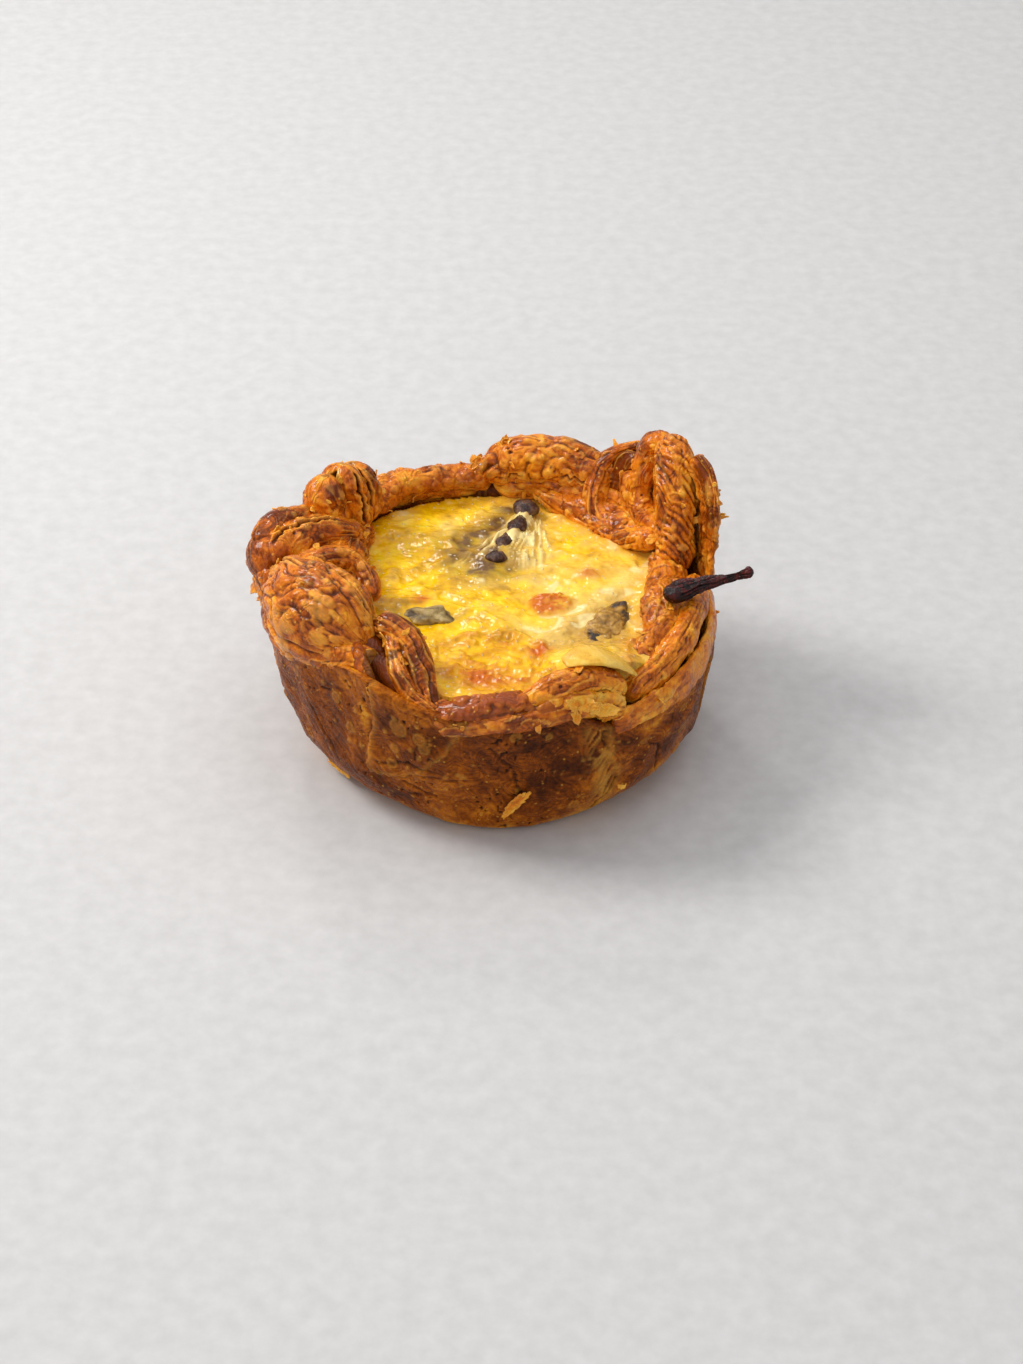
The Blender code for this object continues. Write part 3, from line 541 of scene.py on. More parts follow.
BOTTOM_STEPS = (200, 90)
BOTTOM_CELL = 0.9
BOTTOM_UNROLLED = (210.0, 70.0)
# The plate's outline from its middle, as distances from the axis and heights.
BOTTOM_OUTLINE = ((0.0, 0.3), (20.0, 0.05), (31.0, 0.05), (33.2, 0.6), (33.8, 2.6), (33.2, 5.0), (31.0, 6.0),
                  (0.0, 6.0))


def bottom_shape(u, v):
    """The outline, turned round the axis."""
    turn = 2 * math.pi * u
    path = np.array(BOTTOM_OUTLINE)
    step = np.concatenate(([0], np.cumsum(np.hypot(*np.diff(path, axis=0).T))))
    radius, height = (np.interp(v * step[-1], step, way) for way in path.T)
    radius = radius + plan_offset(np.degrees(turn), height) * np.clip(radius / 34, 0, 1)
    points = round_axis(radius, turn, height)
    creases = np.abs(cloud(points, 3.0, 22)) ** 0.6
    # The creases are painted darker in their valleys: painted shade.
    values = {"edge": 0 * u, "tone": 0.45 + 0.4 * cloud(points, 8, 24), "dome": 0 * u, "glaze": 0 * u,
              "crack_and_shade": fade(0.35, 0.1, creases)}
    normals = np.zeros_like(points) + (0, 0, 1)
    return points, normals, 0.2 * creases * (height < 0.4) * (v > 0), BOTTOM_UNROLLED, values


case_bottom = lay("case_bottom", *BOTTOM_STEPS, bottom_shape, BOTTOM_CELL, closed=True)
dress([case_bottom], wall_pastry, "crust")


# The big fold on the left: a flap of the dough's side, gathered and turned in over the rim. It
# puffed up into rounded, blistered petals while it baked, golden brown, with a thin lip below.

FOLD_CELL = 0.27
FOLD_INSET = 0.2
RELIEF_LIMIT = 0.6
FLAKE_THICKNESS = 0.2
# How open a place lies is told from rays that start off it, on a coarse grid of places.
OPEN_CELL = 1.3
OPEN_START = 1.3
OPEN_REACH = 12.0
OPEN_RAYS = 40
GOLDEN_ANGLE = 2.39996


def solid_tree(names):
    """A tree of the frame's own solids, to tell how open a place lies."""
    points, triangles = [], []
    for name in names:
        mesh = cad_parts[name].data
        first = len(points)
        points += [vert.co[:] for vert in mesh.vertices]
        triangles += [[first + i for i in face.vertices] for face in mesh.polygons]
    return BVHTree.FromPolygons(points, triangles)


quiche_tree = solid_tree(("crust", "custard"))
ray_numbers = np.arange(OPEN_RAYS)
ray_heights = (2 * ray_numbers + 1) / OPEN_RAYS - 1
rays = round_axis(np.sqrt(1 - ray_heights ** 2), GOLDEN_ANGLE * ray_numbers, ray_heights)


def openness(points, normals):
    """How much of the space in front of each point, in mm, is free of pastry and custard."""
    result = np.empty(len(points))
    for i, (point, normal) in enumerate(zip(points, normals)):
        start = Vector((point + normal * OPEN_START) * MM)
        facing = rays @ normal
        free = total = 0.0
        for j in np.nonzero(facing > 0.15)[0]:
            total += facing[j]
            if quiche_tree.ray_cast(start, Vector(rays[j]), OPEN_REACH * MM)[0] is None:
                free += facing[j]
        result[i] = free / total
    return result


def spread(table, u, v):
    """The values of a coarse table read smoothly at places from 0 to 1."""
    x = u * (table.shape[0] - 1)
    y = v * (table.shape[1] - 1)
    left = np.minimum(x.astype(int), table.shape[0] - 2)
    low = np.minimum(y.astype(int), table.shape[1] - 2)
    across, up = x - left, y - low
    return (table[left, low] * (1 - across) * (1 - up) + table[left + 1, low] * across * (1 - up)
            + table[left, low + 1] * (1 - across) * up + table[left + 1, low + 1] * across * up)


def along_curve(rows, places):
    """The rows read along a smooth curve through them."""
    last = len(rows) - 1
    left = np.clip(np.floor(places).astype(int), 0, last - 1)
    t = (places - left)[:, None]
    before, here = rows[np.maximum(left - 1, 0)], rows[left]
    there, after = rows[left + 1], rows[np.minimum(left + 2, last)]
    return 0.5 * (2 * here + (there - before) * t + (2 * before - 5 * here + 4 * there - after) * t * t
                  + (3 * here - before - 3 * there + after) * t ** 3)

def polar(rows):
    """Points of rows of angle, radius and height."""
    return round_axis(rows[:, 1], np.radians(rows[:, 0]), rows[:, 2])


def unit(vectors):
    return vectors / np.maximum(np.linalg.norm(vectors, axis=1, keepdims=True), 1e-9)


def plates(points, size, seed):
    """Flakes that overlap at points in mm: how high each stands, and how far its border is."""
    spot = points / size + 5.17 * seed
    corner = np.floor(spot).astype(np.int64)
    nearest, second = np.full(len(spot), 9.0), np.full(len(spot), 9.0)
    height = np.zeros(len(spot))
    for i in range(27):
        cell = corner + np.array((i % 3, i // 3 % 3, i // 9)) - 1
        mixed = (cell[:, 0] * 73856093) ^ (cell[:, 1] * 19349663) ^ (cell[:, 2] * 83492791)
        mixed = ((mixed ^ (mixed >> 13)) * 1274126177) & 0x7FFFFFFF
        draws = as_points(*(((mixed >> shift) % 1009) / 1008.0 for shift in (0, 5, 11)))
        gap = spot - cell - 0.12 - 0.76 * draws
        far = (gap ** 2).sum(axis=1)
        lean = (gap * (draws[:, ::-1] * 2 - 1)).sum(axis=1) + 0.7 * (draws[:, 1] - 0.5)
        nearer = far < nearest
        second = np.where(nearer, nearest, np.minimum(second, far))
        height = np.where(nearer, lean, height)
        nearest = np.where(nearer, far, nearest)
    return height, np.sqrt(second) - np.sqrt(nearest)


def fold(name, facing, rows, pitch=1.9, depth=0.3, wave=1.0, crumple=0.35, domes=5, dome_size=1.2, pits=1,
         cracks=(), chevron=0.0, toast=0.0, glaze=0.0, glaze_top=99.0, seed=1, cell=FOLD_CELL, flaky=0.17,
         flakes=4.0, beads=0.0):
    """A rolled strip of layered dough. A row holds angle, radius, height, half width, half thickness.

    pitch is the width of a layer's edge and depth its step; crumple is the height of the puffs;
    domes and pits are their number on 100 square mm; flaky is the height of the flakes on it, and
    flakes their size; beads makes its domes higher; chevron is the height of arrow-shaped wrinkles.
    A crack holds its start and end along the strip, its side, its half width and its depth.
    """
    rows = np.array(rows)
    last = len(rows) - 1
    places = np.linspace(0, last, 300)
    steps = np.linalg.norm(np.diff(polar(along_curve(rows, places)), axis=0), axis=1)
    travelled = np.concatenate(([0], np.cumsum(steps)))
    length = travelled[-1]
    middle = rows[:, 3:].max(axis=0)
    girth = 2 * math.pi * math.sqrt((middle ** 2).mean())
    reach = girth / (2 * math.pi)
    layers = max(3, round(girth / pitch))
    slim = min(1.0, middle.min() / 2.6)

    def surface(u, v):
        """The plain strip: its points, the way that they face, and how far its ends are closed."""
        place = np.interp(u * length, travelled, places)
        row = along_curve(rows, place)
        centre = polar(row)
        nudge = 0.02 * last
        along = unit(polar(along_curve(rows, np.clip(place + nudge, 0, last)))
                     - polar(along_curve(rows, np.clip(place - nudge, 0, last))))
        outwards = polar(row * (1, 0, 0, 0, 0) + (0, 1, 0, 0, 0))
        up = np.zeros_like(centre) + (0, 0, 1)
        towards = {"up": up, "out": outwards}[facing]
        across = unit(np.cross(along, towards))
        towards = np.cross(across, along)
        turn = 2 * math.pi * v
        from_end = np.minimum(u, 1 - u) * length / (1.1 * row[:, 3:].min(axis=1))
        closing = np.sqrt(1 - (1 - np.clip(from_end, 0, 1)) ** 2)[:, None]
        wide, thick = row[:, 3:4] - FOLD_INSET * slim, row[:, 4:5] - FOLD_INSET * slim
        cosine, sine = np.cos(turn)[:, None], np.sin(turn)[:, None]
        points = centre + closing * (across * wide * cosine + towards * thick * sine)
        normals = unit(across * cosine / wide + towards * sine / thick)
        return points, normals, closing[:, 0]

    long_steps, round_steps = max(4, int(length / OPEN_CELL)), max(6, int(girth / OPEN_CELL))
    coarse = np.meshgrid(np.linspace(0, 1, long_steps), np.linspace(0, 1, round_steps), indexing="ij")
    coarse_points, coarse_normals, _ = surface(*(part.ravel() for part in coarse))
    open_table = openness(coarse_points, coarse_normals).reshape(long_steps, round_steps)

    def shape(u, v):
        """The strip with the relief and the values of its layers, puffs, flakes, cracks and pits."""
        points, normals, closing = surface(u, v)
        turn = 2 * math.pi * v
        flat = as_points(u * length, reach * np.cos(turn), reach * np.sin(turn))
        swirl = drift(flat, 6, seed + 10)
        line = v * layers + wave * (1.1 * cloud(flat * (0.4, 1, 1), 7, seed)
                                    + 0.45 * cloud(flat * (0.6, 1, 1), 2.4, seed + 1)) * 2.0 / pitch
        part = line - np.floor(line)
        ids = as_points(u * length * 0.3, (np.floor(line) % layers) * 5.3, 0 * u + seed)
        strength = (np.clip(0.6 + 0.9 * cloud(ids, 2.2, seed + 2), 0.05, 1.2)
                    * fade(-0.55, 0.25, cloud(flat, 6, seed + 20)))
        groove = np.exp(-(part / 0.12) ** 2) + np.exp(-((1 - part) / 0.06) ** 2)
        ply = strength * (part - 0.5 - 0.55 * groove)
        fine = (line * 3 + 0.5 * cloud(flat * (0.5, 1, 1), 1.4, seed + 3)) % 1.0
        lumps = cloud(flat, 5, seed + 4)
        bent = flat + 2.0 * wave * swirl
        puffs = (np.abs(cloud(bent, 4.4, seed + 5)) ** 0.75
                 + 0.35 * np.abs(cloud(bent, 1.9, seed + 9)) ** 0.8 - 0.6)

        draw = np.random.default_rng(900 + seed)
        dome, hole, split, lip = np.zeros((4, len(u)))
        for number, smallest, largest, body in ((domes, 0.25 * dome_size, dome_size, dome),
                                                (pits, 0.2, 0.5, hole)):
            for _ in range(int(number * length * girth / 100)):
                at_u, at_v = draw.uniform(0.03, 0.97), draw.uniform(0, 2 * math.pi)
                size = smallest + (largest - smallest) * draw.uniform() ** 1.6
                near = np.abs(flat[:, 0] - at_u * length) < size * 2
                gap = flat[near] - (at_u * length, reach * math.cos(at_v), reach * math.sin(at_v))
                bowl = 1 - (gap ** 2).sum(axis=1) / size ** 2
                body[near] = np.maximum(body[near], size * np.clip(bowl, 0, 1))

        jag = 0.7 * cloud(flat * (1, 0, 0), 3.0, seed + 6) + 0.6 * cloud(flat * (1, 0.4, 0.4), 0.9, seed + 7)
        for start, end, side, width, deep in cracks:
            gap = ((v - side + 0.5) % 1 - 0.5) * girth + jag
            here = fade(start - 0.05, start + 0.05, u) * (1 - fade(end - 0.05, end + 0.05, u))
            split = np.maximum(split, np.exp(-(gap / width) ** 4) * deep * here)
            lip = np.maximum(lip, np.exp(-((np.abs(gap) - width - 0.45) / 0.4) ** 2) * here)
        torn = flat * (0.6, 1, 1) + 1.2 * swirl + 0.5 * drift(flat, 2.2, seed + 30)
        plate, border = plates(torn, flakes, seed)
        relief = (0.7 * depth * (ply + 0.3 * strength * (fine - 0.5)) + 0.4 * lumps + 1.2 * crumple * puffs
                  + (0.7 + beads) * np.tanh(0.8 * dome) + 0.3 * lip * (0.6 + jag) + flaky * plate)
        if chevron:
            aside = np.abs((v - 0.75 + 0.5) % 1 - 0.5) * girth
            slant = as_points(u * length + 0.8 * aside, 0.3 * aside, 0 * u) + 0.5 * swirl
            wrinkles = (np.abs(cloud(slant, 1.5, seed + 21)) ** 0.7
                        + 0.4 * np.abs(cloud(slant, 0.7, seed + 22)) - 0.6)
            ridge = np.exp(-(aside / 0.5) ** 2) * fade(-0.2, 0.3, cloud(slant * (1, 0, 0), 0.9, seed + 23))
            waves = np.cos(2 * math.pi * (slant[:, 0] / 1.8 + 0.9 * cloud(flat, 5, seed + 25)))
            relief += chevron * (0.8 * wrinkles + 0.9 * ridge + 0.25 * waves)
            lip = np.maximum(lip, 0.9 * ridge)
        relief *= slim
        relief = np.where(relief > 0, RELIEF_LIMIT * np.tanh(relief / RELIEF_LIMIT), relief)
        relief -= split + 1.2 * hole

        layer_edge = min(1, depth / 0.4) * strength * fade(0.7, 0.86, part) * (1 - fade(0.9, 0.99, part))
        flake_edge = 1.8 * flaky * (1 - fade(0.03, 0.14, border)) * fade(0.05, 0.3, plate)
        # Under the low side of a flake's border the colour goes dark: painted shade under the flake, kept
        # with the cracks.
        under_flake = 1.2 * flaky * (1 - fade(0.02, 0.12, border)) * fade(0.1, -0.2, plate)
        glazed = glaze * (1 - fade(glaze_top - 1.5, glaze_top + 1.5, points[:, 2] + 0.8 * lumps))
        values = {
            "edge": np.clip(0.7 * layer_edge + lip * (0.7 + jag) + flake_edge, 0, 1),
            "tone": (0.5 + toast + 0.22 * lumps + 0.2 * strength * cloud(ids, 1.0, seed + 7) + 0.15 * puffs
                     + 0.15 * cloud(flat, 2.2, seed + 8) - 0.35 * plate * min(1, 2 * flaky)),
            "dome": np.clip(dome * 1.2, 0, 1),
            "crack_and_shade": np.clip(split / 1.2 + 2.0 * hole + under_flake, 0, 1),
            "glaze": glazed * np.clip(0.8 + 0.5 * cloud(flat, 2.5, seed + 24), 0, 1),
            "open": np.clip(spread(open_table, u, v), 0, 1),
        }
        return points, normals, relief * closing, (length, girth), values

    return lay(name, max(8, int(length / cell)), max(16, int(girth / cell)), shape, cell, closed=True)


def flake(name, middle, along, out, size, bend, seed, toast=-0.2, pale=0.6, steps=36):
    """A thin torn flake: its middle, the ways its length and its face point, half sizes, and curl."""
    along = unit(np.array([along], float))
    across = unit(np.cross(np.array([out], float), along))
    out = np.cross(along, across)

    def shape(u, v):
        a, b = 2 * u - 1, 2 * v - 1
        x, y = a * np.sqrt(1 - b * b / 2), b * np.sqrt(1 - a * a / 2)
        far = np.hypot(x, y)
        rim = as_points(3 * x / np.maximum(far, 0.01), 3 * y / np.maximum(far, 0.01), 0 * u + seed)
        ragged = 1 + far * (0.30 * cloud(rim, 1.5, seed) + 0.16 * cloud(rim, 0.45, seed + 1))
        flat = as_points(x * size[0], y * size[1], 0 * u + 3 * seed)
        rise = bend * x * x + 0.35 * bend * y + 0.25 * min(size) * cloud(flat, max(size) / 1.5, seed + 2)
        points = (np.array(middle) + along * (x * ragged * size[0])[:, None]
                  + across * (y * ragged * size[1])[:, None] + out * rise[:, None])
        relief = 0.1 * cloud(flat, 0.6, seed + 4)
        values = {"edge": pale * fade(0.5, 0.95, far), "dome": 0 * u, "crack_and_shade": 0 * u, "glaze": 0 * u,
                  "tone": 0.5 + toast + 0.25 * cloud(flat, 1.5, seed + 3), "open": 0 * u + 0.5}
        return points, np.repeat(out, len(u), axis=0), relief, 2 * np.array(size), values

    return lay(name, steps, steps, shape, 2 * max(size) / steps, thickness=FLAKE_THICKNESS)


folded_pastry = pastry_material(
    "folded_pastry", ((0.97, 0.52, 0.06), (0.93, 0.37, 0.018), (0.80, 0.225, 0.008),
                      (0.50, 0.105, 0.004), (0.17, 0.030, 0.002)),
    crack_and_shade=(0.09, 0.017, 0.002), pale=(0.90, 0.46, 0.07), open_share=0.45, uneven=1.15, coat=0.34, shift=0.50,
    lines=(0.0055, 52.0, 0.5))
left_fold = [
    fold("left_bulb", "out", (
        (-174, 43.2, 36, 4.6, 3.8), (-166.5, 42, 37.4, 8, 6.4), (-159, 40.6, 38.2, 10, 8.6),
        (-151.5, 39.4, 38.4, 10.6, 9.4), (-144, 38.2, 38, 9.8, 8.8), (-137, 37.2, 36.8, 7.2, 6.8),
        (-131, 36.6, 35.6, 4.4, 4.6)), pitch=2.6, depth=0.2, wave=2.2, crumple=1.05, domes=6, dome_size=2,
         pits=1,
         cracks=((0.55, 0.85, 0.56, 0.4, 1.2), (0.15, 0.42, 0.47, 0.3, 0.8), (0.3, 0.6, 0.7, 0.25, 0.7)),
         toast=-0.14, seed=39),
    fold("left_bulb_lip", "out", (
        (-173, 45.4, 33.2, 2.2, 2), (-165, 46, 32.4, 3, 2.4), (-156, 45.4, 32.4, 3.4, 2.6),
        (-146, 44.2, 33.8, 3.4, 2.6), (-136, 42.4, 35.6, 3.4, 2.8), (-130.5, 40.2, 36.6, 2.9, 2.6),
        (-127, 37.8, 36.6, 1.8, 1.8)), pitch=2.4, depth=0.3, wave=0.7, crumple=0.5, domes=3,
         dome_size=1.4, toast=-0.02, seed=40),
    flake("lip_flake", (-31, -29.2, 30.6), (0.9, -0.3, 0.1), (-0.45, -0.85, 0.2), (3.4, 1.5), 0.5, 91,
          -0.35),
    flake("lip_edge_flake", (-38.4, -20.5, 29.6), (0.62, -0.72, -0.05), (-0.75, -0.6, 0.15), (4.6, 1.1),
          0.3, 92, -0.3),
    flake("left_triangle_flake", (-49.2, 2, 31.6), (0.1, -0.35, 1), (-0.9, -0.35, 0.1), (2.6, 1.4), 0.6,
          93, -0.1),
]
dress(left_fold, folded_pastry, "crust")


# The roll behind it on the far left: another corner of dough, rolled up. Its layers opened into
# thin lines, a long dark tear runs along its top, and its smooth end points at the custard.

left_roll = [
    fold("left_roll", "up", (
        (180, 45.2, 33.8, 4.2, 4.2), (174, 45.6, 37, 5.8, 5.6), (166, 41.6, 37.6, 5.4, 5),
        (157, 37.2, 36.2, 4.8, 4.2), (150.5, 34.2, 34.4, 3.6, 3.2), (147, 32.8, 33.2, 2.4, 2.4)),
         pitch=1.5, depth=0.42, wave=0.8, crumple=0.4, domes=4, cracks=((0.2, 0.7, 0.2, 0.4, 1.2),),
         toast=0, seed=41),
    fold("left_roll_top", "up", (
        (176, 48.6, 40.6, 2.4, 1.9), (166.5, 46, 41.6, 2.8, 2.2), (158, 41.6, 39.8, 2.8, 2.2),
        (153, 38.4, 38.2, 2.2, 1.8)), pitch=1.7, depth=0.25, cracks=((0.1, 0.85, 0.96, 0.55, 1.6),),
         toast=0.06, seed=42),
    fold("left_roll_outer", "out", (
        (188, 44.2, 30.6, 3, 2.2), (181, 45.6, 33, 4.4, 3.2), (173.5, 47, 35.6, 4.2, 3.4)), pitch=1.8,
         depth=0.35, crumple=0.5, domes=7, seed=43),
    fold("left_roll_hood", "up", (
        (185, 44.8, 34.6, 2.6, 2.4), (185, 41.4, 37.8, 3, 2.8), (184, 36.6, 40.4, 3.2, 3),
        (181, 31.8, 40, 3, 2.8), (181.5, 28.4, 38, 2.6, 2.6), (189, 26.2, 36.2, 2.4, 2.4),
        (198, 26.4, 34.8, 2, 2)), pitch=1.9, depth=0.3, crumple=0.55, domes=7, dome_size=1.6, toast=-0.02,
         seed=44),
    fold("left_inner_base", "out", (
        (138, 38, 31.2, 4, 4), (151, 35.8, 31.6, 4.2, 5), (164, 33.8, 32.6, 5, 6),
        (178, 33, 33.4, 5.6, 6.8), (192, 33.2, 33.6, 5.6, 6.8), (206, 34.2, 33, 5.2, 6.4),
        (219, 36.4, 32, 4.6, 5)), crumple=0.6, seed=45),
]
dress(left_roll, folded_pastry, "crust")


# The bulb at the back left, and the low rim that leads on from it: the bulb is a corner of dough
# pinched upright, cracked open in two jagged lines; the rim is a thin roll, baked red-brown inside.

back_left = [
    fold("back_left_lobe_outer", "out", (
        (151, 40, 31, 4.4, 5), (151, 40.5, 37, 4.8, 5.6), (150.5, 40.8, 42.5, 4.6, 5.2),
        (149.5, 41, 46.4, 3.5, 4)), pitch=2.6, depth=0.15, crumple=0.7, domes=5,
         cracks=((0.35, 0.8, 0.62, 0.35, 1),), toast=0.03, seed=11),
    fold("back_left_lobe_middle", "out", (
        (143.5, 39.5, 31, 3.6, 5.6), (143.5, 39.5, 37.5, 3.8, 6.2), (143.5, 39.8, 43.5, 3.4, 5.4),
        (143.5, 40.2, 47.2, 2.4, 4)), pitch=2.6, depth=0.15, crumple=0.7, domes=5,
         cracks=((0.3, 0.92, 0.03, 0.5, 1.8), (0.3, 0.9, 0.79, 0.5, 1.6)), toast=0, seed=12),
    fold("back_left_lobe_inner", "out", (
        (136.5, 40, 31, 4.2, 5), (137, 40, 36.5, 4.3, 5.8), (137.5, 40.3, 42, 3.8, 5.2),
        (138.5, 40.8, 45.4, 2.6, 4)), pitch=2.4, depth=0.2, crumple=0.4, domes=4,
         cracks=((0.45, 0.95, 0.8, 0.4, 1.3),), toast=0.03, seed=13),
    fold("back_left_neck", "out", (
        (133, 40.5, 32.6, 3.6, 3.4), (127, 40.8, 33.8, 3.4, 3.4), (120, 41.2, 33.8, 3, 3.2)), pitch=2.6,
         depth=0.15, crumple=0.4, domes=9, glaze=0.5, glaze_top=33, seed=14, flaky=0.08),
    fold("back_low_rim", "out", (
        (133, 41.5, 33.4, 2.8, 3), (122, 41.6, 35, 3, 3.4), (108, 41.7, 33.9, 2.9, 3.4),
        (92, 41.8, 32.6, 2.6, 3.2)), pitch=2.4, depth=0.15, crumple=0.5, domes=8, dome_size=1.5,
         glaze=0.85, glaze_top=35.2, toast=-0.2, seed=15, flaky=0.1),
    fold("back_base_filling", "out", (
        (184, 42.4, 31.4, 2.8, 2.2), (166, 42.4, 31.6, 3.2, 2.2), (148, 42.3, 31.6, 3.2, 2.2),
        (130, 42.2, 31.6, 3, 2.2), (112, 42.1, 31.4, 3, 2.2), (96, 42, 31, 2.8, 2.2)), depth=0.2,
         crumple=0.5, seed=57),
]
dress(back_left, folded_pastry, "crust")


# The crumpled bump at the back: loose dough that slumped over the rim, soft and light golden
# brown, with small dark pits and rough, pale crumbs along its top.

back_bump = [
    fold("back_bump", "out", (
        (95, 41.2, 33.2, 3.2, 3.2), (88, 41.2, 37, 4.6, 4.4), (80, 40.6, 39, 5.4, 5.2),
        (71, 40.7, 38.6, 5.4, 5), (63, 41.2, 37.8, 5, 4.4), (56, 42, 37.2, 4.4, 3.4),
        (50, 42.6, 37, 3.6, 2.4)), pitch=2.8, depth=0.2, wave=1.8, crumple=0.95, domes=9, dome_size=1.7,
         pits=3, cracks=((0.15, 0.3, 0.7, 0.3, 0.9), (0.62, 0.9, 0.74, 0.3, 0.9)), toast=-0.1, seed=16),
    fold("back_bump_filling", "out", (
        (92, 41, 32.6, 3.6, 3.4), (76, 40.4, 33, 4.4, 4.2), (60, 40.2, 32.8, 4.4, 4.2),
        (44, 40.4, 32.6, 4.2, 4)), crumple=0.7, domes=9, toast=-0.1, seed=17),
    fold("back_inner_ridge", "out", (
        (79, 38, 32.6, 2.4, 2.6), (72, 36.4, 31.6, 2.8, 2.8), (62, 34.4, 30.4, 2.8, 3),
        (51, 33.2, 29.9, 2.8, 3.2), (40, 32.8, 31, 2.8, 3.2), (30, 33.4, 33.4, 2.8, 3),
        (22, 35.4, 35.6, 2.6, 2.6)), pitch=2, depth=0.35, crumple=0.55, domes=9, pits=2, toast=-0.05,
         seed=18),
    fold("back_ridge_filling", "out", (
        (72, 38.5, 31, 4.4, 4.6), (57, 37.2, 30.6, 4.8, 5.4), (42, 36.6, 30.8, 5, 6),
        (26, 37.6, 31, 4.8, 5.4)), crumple=0.6, seed=19),
    flake("bump_crumb_left", (-5, 41, 37), (0.3, 0.1, 1), (-0.4, -0.9, 0.2), (1.3, 0.8), 0.3, 94, -0.4),
    flake("bump_crumb_top", (0.8, 40.6, 42.4), (0.5, 0.1, 1), (0, -1, 0.2), (1.2, 0.6), 0.2, 95, -0.4),
]
dress(back_bump, folded_pastry, "crust")


# The twist: a long tongue of layered dough curled round on itself like a letter U, with a dark
# hollow in its loop and a lighter web of dough across it.

twist = [
    fold("twist_curl", "out", (
        (47.5, 43.4, 47.2, 0.9, 1.2), (54.5, 43, 43.8, 1.3, 1.8), (57.6, 41.6, 41, 2.1, 2.6),
        (58, 39.8, 38, 2.7, 3), (57, 37.8, 35.2, 2.9, 3.3), (54.2, 36, 32.6, 3.1, 3.4),
        (49, 34.9, 31.2, 3.2, 3.6), (43, 34.8, 32, 3.1, 3.4), (39, 35.4, 34.6, 2.6, 2.8)), pitch=2.3,
         depth=1, wave=0.5, crumple=0.15, domes=2, toast=0.02, seed=20),
    fold("twist_back", "out", (
        (52, 41.6, 32, 5.4, 3.2), (50.5, 41.8, 37, 5.6, 2.8), (49, 42, 41.5, 4.6, 2.2),
        (46.5, 42.6, 45, 3, 1.8)), depth=0.4, toast=0.45, seed=21),
    fold("twist_web", "out", (
        (45.5, 39.4, 43, 2.8, 1.6), (44, 38.2, 40, 3.4, 2), (40, 37.2, 37, 3.6, 2.4),
        (35, 36.8, 34, 3.6, 2.8)), pitch=2.4, depth=0.2, crumple=0.6, domes=12, toast=-0.12, seed=22),
]
dress(twist, folded_pastry, "crust")


# The tall roll at the back right: a sheet rolled up and stood on end, its front skin gathered into
# fine arrow-shaped wrinkles, with a looser outer sheet behind it, apart from it in a dark gap.

tall_roll = [
    fold("tall_left_ridge", "out", (
        (36, 43, 51.8, 2.2, 2.2), (41.2, 42, 49.8, 2.4, 2.4), (42.3, 41, 46.8, 2.5, 2.6),
        (41.5, 39.8, 43.6, 2.6, 2.8), (41.5, 38.8, 40, 2.8, 3), (38.5, 38, 36.8, 3, 3.2),
        (31, 37.3, 34.8, 3, 3), (22, 37, 33, 2.8, 2.8)), pitch=2.2, depth=0.25, crumple=0.4, domes=8,
         toast=-0.04, seed=23),
    fold("tall_filling", "out", (
        (30, 41.2, 34, 4.4, 3), (33, 41.6, 40, 4.6, 3), (35, 42, 45.6, 4.2, 2.6),
        (36.5, 42.6, 49.6, 2.8, 2)), seed=24),
    fold("tall_gap_filling", "out", (
        (45, 41.6, 32, 4, 2), (44.5, 41.8, 38, 4, 1.8), (43.5, 42, 43, 3.4, 1.6),
        (42.5, 42.2, 47, 2.4, 1.4)), toast=0.2, seed=55),
    fold("tall_seam_filling", "out", (
        (24.5, 43.4, 44, 3, 1.8), (26, 43.3, 48, 3.2, 2), (27.5, 43, 51, 2.8, 1.8)), toast=0.1, seed=56),
    fold("tall_roll", "out", (
        (12.5, 37.4, 30.6, 4.8, 3.8), (16.5, 37.6, 34.4, 5.2, 4), (19.5, 38, 38.6, 5.3, 4),
        (22.3, 38.9, 43, 5.3, 4.2), (25, 40, 46.8, 5.3, 4.4), (29, 41, 49.4, 5.3, 4.2),
        (33, 41.8, 51, 4.8, 3.6), (37, 42.6, 52.2, 3, 2.4)), pitch=3, depth=0.12, crumple=0.4, domes=4,
         chevron=0.7, toast=-0.08, cracks=((0.66, 0.74, 0.8, 0.25, 0.8),), seed=25, flaky=0.04),
    fold("tall_outer_sheet", "out", (
        (11, 42.4, 27, 5, 1.2), (13, 42.8, 31, 6.6, 1.4), (15.5, 43.2, 36, 7.8, 1.5),
        (17, 43.4, 41, 8.4, 1.5), (18.5, 43.4, 45.6, 8.6, 1.6), (21, 43.1, 48.6, 8.2, 1.8),
        (25, 42.5, 50.8, 6.6, 2)), pitch=2.2, depth=0.35, crumple=0.9, domes=14, dome_size=1.4,
         toast=0.05, seed=26),
    flake("tall_frayed_flake", (42.6, 11.2, 42), (1, 0, 0.2), (0.1, -0.8, 0.5), (3.4, 0.9), 0.6, 96,
          -0.35, 0.9),
    flake("tall_side_flake", (43.4, 12.6, 46), (0.45, -0.1, 1), (0.5, -0.85, 0.1), (2.6, 1.3), 0.5, 97,
          0),
    flake("tall_lower_flake", (43.6, 10.6, 35), (0.15, -0.2, 1), (0.6, -0.8, 0.1), (3.6, 1.1), 0.5, 98,
          -0.1),
]
dress(tall_roll, folded_pastry, "crust")


# The rolls on the right: the rim folded over twice and laid down towards the front, its layers
# open in long waves, with a dark gap behind the inner roll and a golden outer edge.

